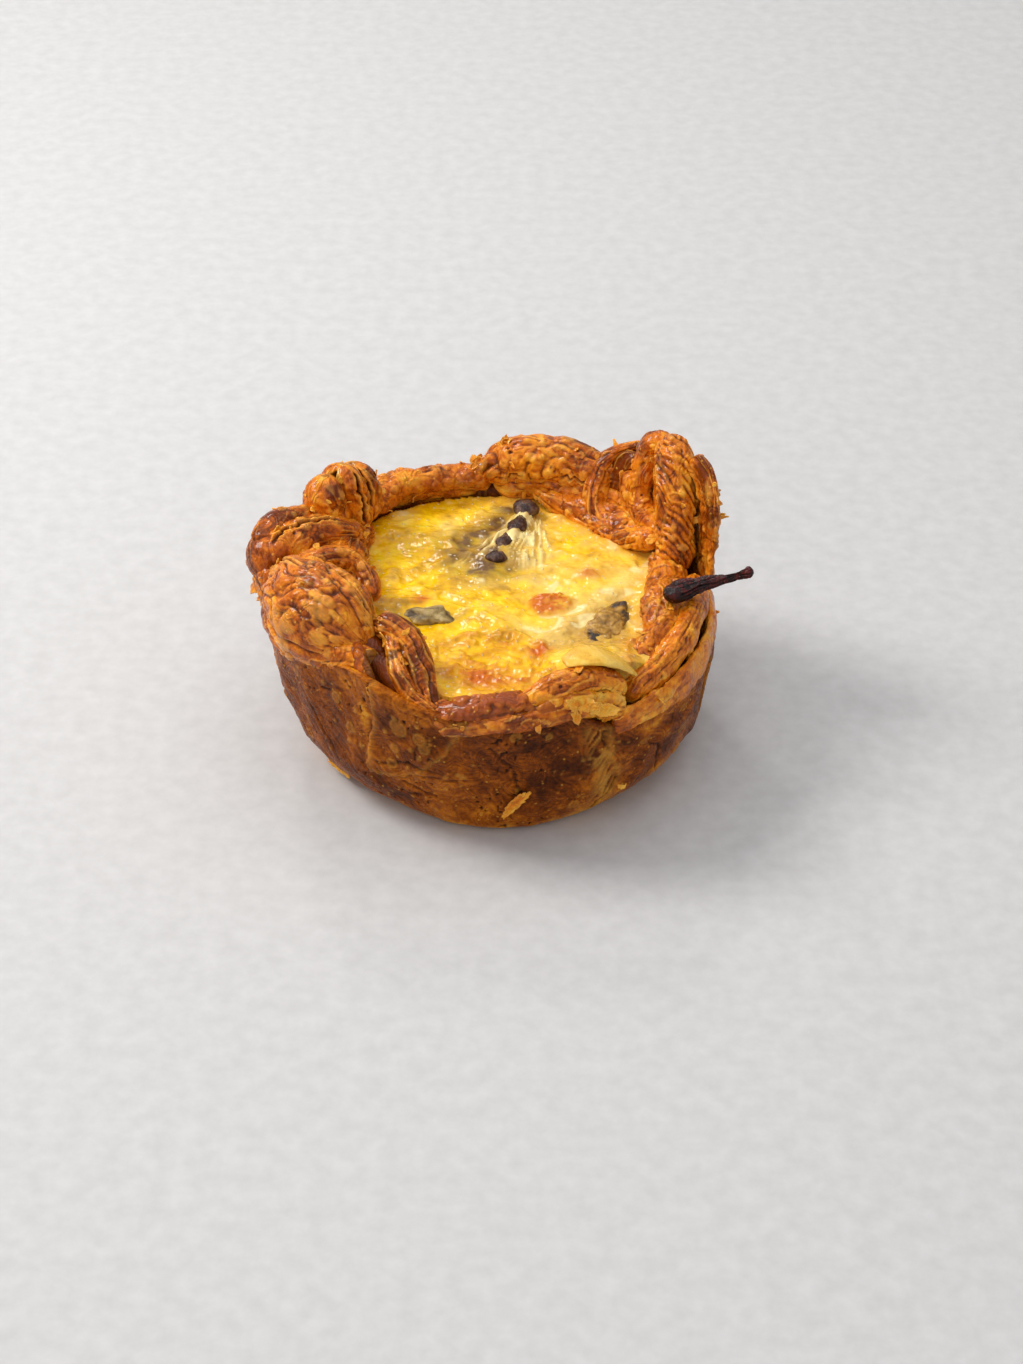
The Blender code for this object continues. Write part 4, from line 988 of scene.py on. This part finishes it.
right_rolls = [
    fold("right_fold_over", "out", (
        (22, 36, 31.2, 3, 3.4), (11, 34.8, 31.7, 3.2, 4), (0, 33.9, 32.1, 3.2, 4.6),
        (-10, 33.6, 32.3, 3.2, 4.8), (-19, 34.2, 32.2, 3.1, 4.4), (-27, 35.6, 31.5, 3, 3.6)), pitch=2.2,
         depth=0.3, wave=1.4, crumple=0.55, domes=8, toast=-0.05, glaze=0.12, seed=27),
    fold("right_roll", "out", (
        (4, 39.2, 31.4, 3.4, 2.6), (-7, 39.4, 32, 3.6, 2.9), (-18, 39.4, 31.6, 3.7, 3.1),
        (-28, 39.3, 30.2, 3.7, 3.2), (-37, 39.2, 29.2, 3.7, 3.3), (-46, 39.3, 28.2, 3.4, 3.2),
        (-52, 40, 27, 2.8, 2.6)), pitch=2, depth=0.6, wave=1.3, crumple=0.35, domes=3, pits=2, toast=-0.2,
         seed=28),
    fold("right_inner_ridge", "out", (
        (-14, 36.6, 32.2, 2.4, 2.4), (-22, 36, 32.4, 2.7, 2.6), (-30, 35.3, 31.6, 2.9, 2.9),
        (-37, 35.4, 30.4, 3, 3.1), (-45, 36.6, 29, 2.6, 2.7)), pitch=2, depth=0.35, wave=1.8,
         crumple=0.35, toast=-0.08, glaze=0.15, seed=29),
    fold("right_outer_wall", "out", (
        (8, 42.7, 26.6, 3.6, 1.3), (-6, 42.7, 25.6, 3.9, 1.3), (-20, 42.7, 25.2, 4, 1.4),
        (-34, 42.8, 25, 3.8, 1.4), (-48, 43.1, 25, 3.4, 1.4), (-60, 43.6, 25.8, 2.9, 1.3)), pitch=2.4,
         depth=0.4, crumple=0.7, domes=5, toast=-0.22, seed=30),
]
dress(right_rolls, folded_pastry, "crust")


# The front rim: a ridge of open layers on the right, rough and golden, with a curled pale flake
# on it, and a low rim of dark, glossy, blistered dough with a thin lip in the middle.

front_rim = [
    fold("front_right_fold", "out", (
        (-84, 41.2, 32.6, 2.2, 2.4), (-77, 40.8, 34.8, 2.8, 2.8), (-69, 40.6, 35.8, 3, 3),
        (-61, 40.6, 34.2, 3, 3), (-54, 41.2, 30.6, 2.8, 2.8)), pitch=1.6, depth=0.6, wave=1.3,
         crumple=0.4, domes=6, pits=5, toast=-0.32, seed=31),
    fold("front_right_face", "out", (
        (-79, 42.6, 32.4, 2.4, 2), (-71, 42.8, 33, 3.2, 2.4), (-63, 42.8, 31.2, 3.4, 2.4),
        (-56, 42.8, 28.2, 2.8, 2)), pitch=1.7, depth=0.65, wave=1.3, crumple=0.6, domes=8, pits=5,
         toast=-0.38, seed=32),
    fold("front_low_rim", "out", (
        (-108, 42.4, 29.6, 2.4, 2.6), (-98, 42, 31.6, 2.8, 3), (-88, 41.6, 32.4, 2.8, 3.2),
        (-78, 41.6, 32.6, 2.6, 3), (-69, 41.6, 31.8, 2.6, 2.8)), pitch=3, depth=0.1, crumple=0.4,
         domes=20, dome_size=1.8, pits=0, toast=0, glaze=0.85, seed=33, flaky=0.05, beads=1),
    fold("front_outer_lip", "out", (
        (-105, 44, 28.4, 1.6, 1.2), (-97, 44.4, 29.8, 1.9, 1.4), (-87, 44.6, 30.8, 1.9, 1.4),
        (-77, 44.4, 31.4, 1.9, 1.4), (-67, 44, 31.4, 1.7, 1.2)), pitch=2.4, depth=0.25, crumple=0.4,
         toast=-0.05, glaze=0.2, seed=34, flaky=0.3),
    flake("rim_flake", (15.6, -41.9, 33.2), (1, 0.15, -0.25), (0.1, -0.75, 0.65), (3.2, 1.7), 1.4, 35,
          -0.35, 0.8),
    flake("rim_flake_lower", (20, -41.4, 31.8), (1, 0.2, -0.3), (0.2, -0.9, 0.35), (3, 1.4), 0.7, 99,
          -0.3, 0.8),
]
dress(front_rim, folded_pastry, "crust")


# The curl at the front left: a flap turned in and down on itself in a few thick layers, open on a
# dark three-cornered hollow, ending in a crumbly, holed tip.

front_curl = [
    fold("front_left_curl", "out", (
        (-135, 33.4, 39.2, 2.6, 2.6), (-128, 33, 40.2, 3, 3), (-121, 33.6, 38.8, 3.2, 3.2),
        (-115.5, 35.8, 35.8, 3.3, 3.3), (-112, 38.6, 32.8, 3.2, 3), (-108, 41.4, 30.4, 2.8, 2.6),
        (-102, 43.2, 28.8, 2, 1.8)), pitch=2.2, depth=0.75, wave=0.7, crumple=0.25, domes=4, pits=2,
         toast=0.24, seed=36),
    fold("front_left_curl_outer", "out", (
        (-128.5, 34, 39.4, 1.5, 1.5), (-122.5, 37.2, 38.2, 2, 1.8), (-117.5, 40.6, 35.8, 2.3, 1.9),
        (-113.5, 42.2, 33.6, 2.2, 1.7), (-108.5, 42.8, 31.8, 2, 1.6), (-103.5, 43.2, 30.4, 1.4, 1.2)),
         pitch=1.7, depth=0.7, wave=0.8, crumple=0.4, domes=4, pits=6, toast=0.15, seed=58),
    # A smooth plug of dough inside the hollow, coloured the darkest brown: painted shade, standing for the
    # shadow in the hollow.
    fold("front_left_filling", "out", (
        (-142, 37.6, 32, 5.4, 5), (-131, 37.2, 33, 6, 5.2), (-120, 38.4, 30.6, 5.2, 4.8),
        (-110, 40.4, 27.6, 3.6, 3.6)), depth=0, crumple=0.6, domes=0, toast=1.2, seed=37, flaky=0),
    fold("front_left_hood", "out", (
        (-118.5, 43.6, 28.6, 1.5, 1.1), (-122.5, 43.8, 32.6, 2, 1.2), (-126.5, 43, 35.8, 2.4, 1.4),
        (-131, 41, 37.6, 2.2, 1.6), (-136, 38.6, 38.4, 1.6, 1.6)), pitch=4, depth=0.05, crumple=0.5,
         domes=5, toast=0.2, glaze=0.5, seed=38),
]
dress(front_curl, folded_pastry, "crust")


# The loose flakes: thin bits of baked skin that tore and stand up all over the folds, where they
# hold by one edge, and three larger ones that lie against the foot and the side of the case.

SCRAPS = 170
SCRAPS_SEED = 300


def scraps(name, pieces, count, seed):
    """Small torn flakes that stand up from pieces, all in one mesh, inside the quiche's own box."""
    draw = np.random.default_rng(seed)
    together = bmesh.new()
    for number in range(count):
        mesh = pieces[number % len(pieces)].data
        vert = mesh.vertices[int(draw.integers(len(mesh.vertices)))]
        normal = np.array(vert.normal)
        aside = np.cross(normal, draw.normal(size=3))
        length = draw.uniform(0.5, 1.5)
        size = (length, length * draw.uniform(0.4, 0.8))
        middle = np.array(vert.co) / MM + normal * 0.15
        bit = flake("scrap", middle, aside + 0.5 * normal, normal - 0.3 * aside, size,
                    0.3 * length, seed + number, draw.uniform(-0.4, 0.0), 0.8, 10)
        corners = points_of(bit.data)
        if (corners > cad_box[0]).all() and (corners < cad_box[1]).all():
            together.from_mesh(bit.data)
        bpy.data.objects.remove(bit)
    return show(mesh_of(together, name))


folds = (left_fold + left_roll + back_left + back_bump + twist + tall_roll + right_rolls + front_rim
         + front_curl)
rolled = [piece for piece in folds if "flake" not in piece.name and "filling" not in piece.name]
loose_flakes = [
    scraps("loose_scraps", rolled, SCRAPS, SCRAPS_SEED),
    flake("wall_flake", (3.2, -42.2, 9.8), (0.6, 0, 0.75), (0.08, -1, -0.05), (3.7, 1.2), 0.35, 121,
          -0.15, 0.35),
    flake("wall_flake_right", (24.6, -33.8, 10.4), (0.2, 0.3, 1), (0.6, -0.8, 0), (2.6, 1.6), 0.3, 122,
          -0.3, 0.5),
    flake("left_foot_flake", (-32.2, -20.4, 2.6), (0.62, -0.78, -0.1), (-0.75, -0.6, 0.3), (3.4, 0.9), 0.3,
          123, -0.35, 0.4),
]
dress(loose_flakes, folded_pastry, "crust")


# The custard: eggs, cream and cheese set in the oven. It fills the case; its top is uneven and
# glossy, yellow on the left, creamy on the right, toasted where it stood highest, with a fan of
# melted cheese threads at the back.

CUSTARD_TOP = 30.9
CUSTARD_BOTTOM = 6.0
CUSTARD_EDGE = 39.0
CUSTARD_FOOT_SHARE = 0.86
CUSTARD_CELL = 0.31
CUSTARD_RISE = 1.2
# The edge of the wrinkled skin at the front, the creamy band, and where the threads start.
SKIN_EDGE = ((-24, -2.5), (-12, -3.8), (-4.5, -7), (2.5, -13.5), (8.5, -19.5), (10, -26))
CREAM_BAND = ((9, -19), (14, -12), (20, -4), (25.5, 4), (31, 10))
CHEESE_START = (8.2, 36.0)
# Patches of the top: how strong, the middle, half sizes and turn of each.
BROWN_SPOT = ((1, 10.5, -3.6, 5.4, 4.6, 0),)
FRONT_SKIN = ((1, 0.5, -24, 17, 11, 0),)
MURKY = ((1.6, -4.5, 18, 6.5, 9.5, -30), (1.3, 0, 11, 5.5, 5, 0), (1.2, 3, 28, 5, 9, 0),
         (0.25, -3, 3, 7, 3.5, 0), (0.6, -14.5, -8.5, 7, 3.2, 0))
TAN = ((1.4, 19, -12.5, 12, 6.5, 52), (0.9, 24, -18, 5, 4, 0))
MOUNDS = ((1.9, 4.7, 28.4, 2.6, 2, 0), (1.9, 2.5, 21.9, 2.8, 2.2, 0), (1.6, 0, 16, 2.8, 2, 0),
          (5, 18, -29, 7, 7, 0))
# Two of the creamy patches, at the back left (-20, 30 and -10.5, 26.5), are painted highlights, a pale sheen
# put into the colour; the others are cream.
CREAM_AND_SHEEN_PATCHES = ((0.5, -2, 4, 6, 2.4, 10), (0.8, -20, 30, 2.5, 4, 0), (0.8, -10.5, 26.5, 3, 4, 0),
          (0.6, 5, -12, 7, 2.5, -40))
YOLKY = ((0.9, 14, 20, 3.5, 4, 0), (0.7, 19.5, 16.5, 3, 3, 0))
TOASTED = ((0.45, 0.5, -32, 6, 3, 0), (0.7, -4, -30, 3, 3, 0), (1, 8.3, -21.8, 2.4, 2.2, 0),
           (0.8, 18.5, 7, 2.4, 1.9, 0), (1, -15.3, -2.6, 1.8, 1.4, 0))


def patches(flat, places):
    """Round patches, each strongest at its middle."""
    total = np.zeros(len(flat))
    for strength, x, y, across, deep, turn in places:
        cosine, sine = math.cos(math.radians(turn)), math.sin(math.radians(turn))
        dx, dy = flat[:, 0] - x, flat[:, 1] - y
        total += strength * np.exp(-((dx * cosine + dy * sine) / across) ** 2
                                   - ((dy * cosine - dx * sine) / deep) ** 2)
    return total


def custard_blank():
    """The custard's body: a fine grid cut round, with a side that narrows to a flat bottom."""
    grid = bmesh.new()
    steps = int(2 * CUSTARD_EDGE / CUSTARD_CELL)
    bmesh.ops.create_grid(grid, x_segments=steps, y_segments=steps, size=CUSTARD_EDGE * MM)
    outside = [vert for vert in grid.verts if vert.co.length > CUSTARD_EDGE * MM]
    bmesh.ops.delete(grid, geom=outside, context="VERTS")
    rim = [edge for edge in grid.edges if edge.is_boundary]
    side = bmesh.ops.extrude_edge_only(grid, edges=rim)["geom"]
    for vert in side:
        if isinstance(vert, bmesh.types.BMVert):
            vert.co.x *= CUSTARD_FOOT_SHARE
            vert.co.y *= CUSTARD_FOOT_SHARE
            vert.co.z = (CUSTARD_BOTTOM - CUSTARD_TOP) * MM
    foot = [edge for edge in side if isinstance(edge, bmesh.types.BMEdge)]
    bmesh.ops.holes_fill(grid, edges=foot, sides=0)
    bmesh.ops.recalc_face_normals(grid, faces=grid.faces)
    return mesh_of(grid, "custard_filling")


def custard_top(flat, gap):
    """Heights of the top at places, and what colours it; gap is how far the crust is."""
    x, y = flat.T
    solid = as_points(x, y, 0 * x)
    warp = as_points(cloud(solid, 5, 63), cloud(solid, 5, 64), 0 * x)
    low = 0.9 * cloud(solid, 9, 61) + 0.45 * cloud(solid, 4.2, 62)
    swirl = cloud(solid + 2.2 * warp, 2.6, 65)
    fine = cloud(solid + 0.8 * warp, 0.9, 66)
    curds = np.abs(cloud(solid + 1.6 * warp, 3.4, 69)) ** 0.6
    wrinkle = np.abs(cloud(solid * (1, 1.3, 1) + 1.6 * warp, 1.5, 67)) ** 0.6
    wide = cloud(solid, 7, 68)
    seam = np.exp(-(from_line(flat, SKIN_EDGE) / 0.8) ** 2)
    band = np.exp(-(from_line(flat, CREAM_BAND) / 2.2) ** 2)

    from_start = np.hypot(x - CHEESE_START[0], y - CHEESE_START[1])
    towards = np.degrees(np.arctan2(y - CHEESE_START[1], x - CHEESE_START[0]))
    fan = (fade(-130, -119, towards) * (1 - fade(-85, -77, towards)) * fade(3, 8, from_start)
           * (1 - fade(19, 30, from_start + 6 * cloud(solid, 5, 72))))
    threads = as_points(towards * 0.5 + 1.1 * warp[:, 0], from_start * 0.10, 0 * x)
    strings = (fan * np.clip(1.25 - 4.2 * np.abs(cloud(threads, 1.3, 70)), 0, 1)
               * (0.8 + 0.4 * cloud(threads * (1, 3, 1), 2, 71)))

    spot_x, spot_y = BROWN_SPOT[0][1:3]
    brown_spot = fade(0.25, 0.7, patches(flat, BROWN_SPOT) + 0.1 * swirl)
    ring = np.exp(-((np.hypot(x - spot_x, (y - spot_y) * 1.15) - 5.2) / 0.8) ** 2)
    front = (fade(0.15, 0.6, patches(flat, FRONT_SKIN) + 0.15 * swirl)
             * fade(-0.8, 0.8, from_line(flat, SKIN_EDGE[::-1])))
    murk = np.clip(patches(flat, MURKY) + 0.25 * swirl - 0.1, 0, 1)
    tan = np.clip(patches(flat, TAN) + 0.3 * swirl - 0.1, 0, 1)
    height = (CUSTARD_TOP - CUSTARD_RISE * y / RIM_RADIUS + 0.8 * low + 0.45 * swirl + 0.04 * fine
              + 0.2 * (curds - 0.6) + 0.6 * seam + 0.6 * band + 0.15 * strings
              + 0.6 * brown_spot - 0.3 * ring
              + (0.9 * front + 0.6 * tan + 0.6 * brown_spot) * (0.6 - wrinkle) - 0.3 * tan
              + (0.7 * np.clip(murk * 1.3, 0, 1) + 0.5 * strings) * fade(8, 14, y)
              + patches(flat, MOUNDS) + 0.9 * np.exp(-gap / 1.1))

    cream_and_sheen = (fade(-2, 12, x + 0.25 * y + 6 * wide) * (0.45 + 0.35 * swirl) + 0.9 * band + 1.1 * strings
             + 0.35 * fan + 0.2 * fade(0.2, 0.6, swirl) + patches(flat, CREAM_AND_SHEEN_PATCHES) + 0.5 * ring * (x > 8))
    cream_and_sheen = np.clip(cream_and_sheen * (1 - patches(flat, YOLKY)) * (1 - 0.8 * front), 0, 1)
    toast = np.clip(brown_spot * (1.0 - 0.11 * (x - spot_x) + 0.5 * fine + 0.3 * swirl)
                    + patches(flat, TOASTED) + 0.32 * front * (0.5 + fade(0.55, 0.2, wrinkle))
                    + 0.7 * np.exp(-gap / 1.2) * (0.6 + 0.4 * wide), 0, 1)
    broken = np.clip(0.8 + 0.5 * cloud(solid + warp, 2.4, 74), 0.4, 1)
    murk = murk * broken * (1 - 0.95 * strings) * (1 - 0.3 * fan)
    curdled = fade(0.45, 0.75, cream_and_sheen + 0.3 * swirl) * fade(0.25, 0.5, cloud(solid + 2.5 * warp, 3.0, 73))
    white = np.clip(0.65 * strings + 0.35 * fan * fade(0.0, 0.5, fine) + curdled, 0, 0.75)
    white *= 1 - np.clip(2 * toast, 0, 1)
    return height, {"cream_and_sheen": cream_and_sheen, "toast": toast, "murk": murk, "tan": tan, "white": white}


custard_mesh = custard_blank()
custard_place = points_of(custard_mesh) / MM
crust_tree = solid_tree(("crust",))
crust_gap = np.full(len(custard_place), 20.0)
on_top = custard_place[:, 2] > -1
for i in np.nonzero(on_top)[0]:
    crust_gap[i] = crust_tree.find_nearest(Vector((*custard_place[i, :2], CUSTARD_TOP)) * MM)[3] / MM
top_height, custard_values = custard_top(custard_place[:, :2], crust_gap)
custard_place[:, 2] = np.where(on_top, top_height, custard_place[:, 2] + CUSTARD_TOP)
custard_mesh.vertices.foreach_set("co", (custard_place * MM).ravel())
keep_values(custard_mesh, custard_values)

set_custard = bpy.data.materials.new("set_custard")
set_custard.use_nodes = True
tree = set_custard.node_tree
place = put(tree, "ShaderNodeTexCoord", {}, "Object")
broad, middle = noise(tree, place, 0.006), noise(tree, place, 0.0018, 1.5)
bubbles_and_glints = times(tree, dotted(tree, place, 420.0, 0.06, 0.13, voronoi_dimensions="2D"),
                plus(tree, middle, 0.5, "GREATER_THAN"))
colour = ramp(tree, summed(tree, -0.34, ((broad, 0.0, 1.2), (middle, 0.0, 0.5))), (
    (0.22, (0.50, 0.25, 0.0)), (0.42, (0.82, 0.43, 0.0)), (0.58, (0.98, 0.58, 0.0)),
    (0.8, (1.0, 0.73, 0.03))))
# The cream colour also carries two painted highlights, the pale sheen at the back left.
for key, more, shade in (("cream_and_sheen", 0.45, (0.95, 0.65, 0.15)), ("murk", 0.55, (0.17, 0.085, 0.025)),
                         ("tan", 0.2, (0.50, 0.26, 0.05)), ("white", None, (0.92, 0.75, 0.34)),
                         ("toast", 0.6, (0.60, 0.14, 0.003))):
    share = attribute(tree, key)
    if more:
        share = times(tree, share, plus(tree, middle, more), clamp=True)
    colour = blend(tree, share, colour, shade)
# Small dots painted near white: bubbles in the custard, and painted glints on them.
colour = blend(tree, times(tree, bubbles_and_glints, 0.6), colour, (1.0, 0.86, 0.5))
ripple = summed(tree, 0.0, ((middle, 0.0, 1.6), (bubbles_and_glints, 0.0, 0.6)))
fill(tree, tree.nodes["Principled BSDF"], {
    "Base Color": colour, "Roughness": ranged(tree, middle, 0.3, 0.7, 0.08, 0.20),
    "Specular IOR Level": 0.34, "Subsurface Weight": 0.15, "Subsurface Radius": (1.0, 0.6, 0.2),
    "Subsurface Scale": 0.001, "Normal": bump(tree, ripple, 0.75, 0.00035)})
dress([show(custard_mesh)], set_custard, "custard")


# The mushroom: three pieces, cooked soft and dark in the oven. They were stirred into the custard
# and floated up to lie in its top: a pale one, a brown one and a row of shrunken dark ones.

def lump(name, centre, size, turn, dark, seed):
    """A rounded, dimpled piece of mushroom, its dark places given by place and size."""
    ball = bmesh.new()
    bmesh.ops.create_icosphere(ball, subdivisions=6, radius=1.0)
    mesh = mesh_of(ball, name)
    body = points_of(mesh) * size
    swell = 1 + 0.24 * cloud(body, 3.0, seed) + 0.12 * cloud(body, 1.4, seed + 1)
    creases = np.abs(cloud(body * (0.6, 1.3, 1), 2.0, seed + 2)) ** 0.7
    body = body * (swell - 0.05 + 0.09 * (creases - 0.6))[:, None]
    cosine, sine = math.cos(math.radians(turn)), math.sin(math.radians(turn))
    turned = as_points(body[:, 0] * cosine - body[:, 1] * sine, body[:, 0] * sine + body[:, 1] * cosine,
                       body[:, 2]) + centre
    mesh.vertices.foreach_set("co", (turned * MM).ravel())
    # The creases are painted darker, as painted shade; the dark places below are the mushroom's own dark
    # spots.
    shade = np.clip(creases, 0, 1) + 0.3
    mottle = np.clip(0.8 + 1.2 * cloud(body, 1.3, seed + 5), 0, 1.6)
    for x, y, reach in dark:
        away = (turned[:, 0] - x) ** 2 + (turned[:, 1] - y) ** 2
        shade -= 1.6 * mottle * np.exp(-away / reach ** 2)
    keep_values(mesh, {"lift": shade})
    return show(mesh)


def topping_material(name, dark, middle, light, rough, size=0.0015):
    """A soft, wet surface, mottled in three colours in patches of a size in metres."""
    material = bpy.data.materials.new(name)
    material.use_nodes = True
    tree = material.node_tree
    place = put(tree, "ShaderNodeTexCoord", {}, "Object")
    patches, grain = noise(tree, place, size, 5.0, 0.6), noise(tree, place, size / 4, 4.0)
    # The lift value lights what stands up and darkens the creases: painted light and shade; on a mushroom
    # lump it also carries its own dark spots.
    value = summed(tree, 0.0, ((patches, 0.0, 0.8), (attribute(tree, "lift"), 0.0, 0.2)))
    fill(tree, tree.nodes["Principled BSDF"], {
        "Base Color": ramp(tree, value, ((0.30, dark), (0.50, middle), (0.72, light))),
        "Roughness": rough, "Specular IOR Level": 0.3,
        "Normal": bump(tree, plus(tree, patches, grain), 0.5, 0.0004)})
    return material


pale_piece = lump("mushroom_piece_left", (-13.8, -8.2, 30.9), (5.4, 2.9, 1.7), -4.0,
                  ((-9.5, -8.6, 2.0), (-17.6, -9.0, 1.5)), 71)
pale_mushroom = topping_material("pale_mushroom", (0.09, 0.06, 0.03), (0.33, 0.23, 0.08),
                                 (0.58, 0.43, 0.17), 0.12)
dress([pale_piece], pale_mushroom, "mushroom_left")
brown_piece = lump("mushroom_piece_right", (21.3, -10.8, 30.7), (8.2, 3.9, 1.9), 57.0,
                   ((26.5, -4.5, 4.6), (18.5, -17.0, 1.6)), 75)
brown_mushroom = topping_material("brown_mushroom", (0.05, 0.04, 0.03), (0.36, 0.18, 0.03),
                                  (0.66, 0.39, 0.09), 0.12)
dress([brown_piece], brown_mushroom, "mushroom_right")
dark_piece = fold("mushroom_piece_back", "up", (
    (79.5, 34.2, 31.8, 2, 1.6), (80, 31.6, 31.8, 3, 2), (80.5, 28.6, 31.2, 1.7, 1.4),
    (81.5, 25.4, 31.2, 2.5, 1.6), (83.5, 22, 30.9, 1.3, 1.1), (86, 19, 30.9, 2, 1.4),
    (90, 15.6, 30.6, 1.3, 1.2), (92, 13.4, 30.8, 2.3, 1.5), (93, 11.8, 30.6, 1.4, 1.1)),
    depth=0.15, crumple=0.7, pits=0, seed=81, cell=0.2, flaky=0)
dark_mushroom = topping_material("dark_mushroom", (0.010, 0.005, 0.005), (0.05, 0.020, 0.014),
                                 (0.26, 0.14, 0.08), 0.15)
dress([dark_piece], dark_mushroom, "mushroom_back")


# The onion: a thin, pale slice that dried to a golden gloss where it lies on the front fold, half
# on the custard.

onion_piece = fold("onion_piece", "up", (
    (-71, 37.8, 38.9, 1.6, 0.6), (-66, 37.8, 39.4, 3, 0.8), (-60, 38.2, 38.6, 3.6, 0.9),
    (-54.5, 38.8, 36.4, 3.2, 0.9), (-50.5, 39.6, 33.8, 2, 0.7), (-48.5, 40.2, 32.2, 0.9, 0.5)),
    depth=0.1, crumple=0.5, domes=0, pits=2, seed=83, cell=0.2, flaky=0)
baked_onion = topping_material("baked_onion", (0.62, 0.25, 0.01), (0.86, 0.50, 0.06),
                               (0.93, 0.63, 0.16), 0.15, 0.004)
dress([onion_piece], baked_onion, "onion_slice")


# The stalk: shrivelled nearly black in the oven, with deep grooves along it. Its thick foot lies on
# the right rim, and its thin end stands out over the side.

stalk_piece = fold("stalk_piece", "up", (
    (-17.5, 34.2, 37.4, 1.8, 1.6), (-14.2, 36.6, 37.6, 2.3, 2), (-12.5, 39.2, 38.2, 2.2, 1.8),
    (-12, 41.8, 39.2, 1.6, 1.4), (-11.8, 44.4, 40.2, 1, 1), (-12, 47.2, 41.5, 0.75, 0.75),
    (-12.4, 49.8, 42.9, 0.9, 0.9), (-12.6, 51.2, 43.6, 1.2, 1.2)),
    pitch=1, depth=1.6, crumple=0.8, domes=0, pits=0, seed=85, cell=0.15, flaky=0.1, flakes=1.5)
shrivelled_stalk = topping_material("shrivelled_stalk", (0.002, 0.0006, 0.0006), (0.014, 0.0016, 0.001),
                                    (0.14, 0.010, 0.007), 0.2)
dress([stalk_piece], shrivelled_stalk, "stalk")


# The room: a pale matte floor, soft daylight from a window on the left, a small bright one behind
# and a wide pale ceiling. The camera looks down at the quiche from a little over a third of a
# right angle.

FLOOR_SIZE = 3.0
CAMERA_TILT = math.radians(35.2)
CAMERA_DISTANCE = 0.624
CAMERA_TARGET = Vector((0.00257, 0.01303, 0.0))
CAMERA_VIEW = math.radians(26.0)
LIGHTS_TARGET = Vector((0, 0, 0.02))
# Each lamp: where it hangs, its width, its power in watts and its colour.
LAMPS = {
    "window": ((-0.55, 0.16, 0.60), 0.30, 4.7, (1.0, 0.98, 0.96)),
    "far_window": ((-0.24, 0.70, 0.60), 0.12, 1.1, (1.0, 0.99, 0.97)),
    "ceiling": ((0.05, 0.15, 1.1), 1.1, 3.4, (1.0, 1.0, 1.0)),
    "front_fill": ((-0.15, -0.75, 0.5), 0.6, 1.0, (1.0, 1.0, 1.0)),
}

floor_grid = bmesh.new()
bmesh.ops.create_grid(floor_grid, x_segments=2, y_segments=2, size=FLOOR_SIZE / 2)
floor = show(mesh_of(floor_grid, "floor"))
pale_floor = bpy.data.materials.new("pale_floor")
pale_floor.use_nodes = True
tree = pale_floor.node_tree
mottle = noise(tree, put(tree, "ShaderNodeTexCoord", {}, "Object"), 0.004, 3.0)
fill(tree, tree.nodes["Principled BSDF"], {
    "Base Color": ramp(tree, mottle, ((0.3, (0.55, 0.54, 0.53)), (0.7, (0.61, 0.60, 0.59)))),
    "Roughness": 0.8, "Specular IOR Level": 0.1})
floor.data.materials.append(pale_floor)

world = bpy.data.worlds.new("daylight")
world.use_nodes = True
fill(world.node_tree, world.node_tree.nodes["Background"],
     {"Color": (0.94, 0.96, 1.0, 1.0), "Strength": 0.5})
bpy.context.scene.world = world
for name, (where, width, power, shade) in LAMPS.items():
    lamp = bpy.data.lights.new(name, "AREA")
    lamp.size = width
    lamp.energy = power
    lamp.color = shade
    light = bpy.data.objects.new(name, lamp)
    light.location = where
    light.rotation_euler = (LIGHTS_TARGET - light.location).to_track_quat("-Z", "Y").to_euler()
    bpy.context.scene.collection.objects.link(light)

lens = bpy.data.cameras.new("camera")
lens.sensor_width = 36.0
lens.lens = lens.sensor_width / (2 * math.tan(CAMERA_VIEW / 2))
camera = bpy.data.objects.new("camera", lens)
backwards = Vector((0, -math.cos(CAMERA_TILT), math.sin(CAMERA_TILT)))
camera.location = CAMERA_TARGET + backwards * CAMERA_DISTANCE
camera.rotation_euler = (math.radians(90) - CAMERA_TILT, 0, 0)
bpy.context.scene.collection.objects.link(camera)
bpy.context.scene.camera = camera
bpy.context.scene.view_settings.view_transform = "Standard"
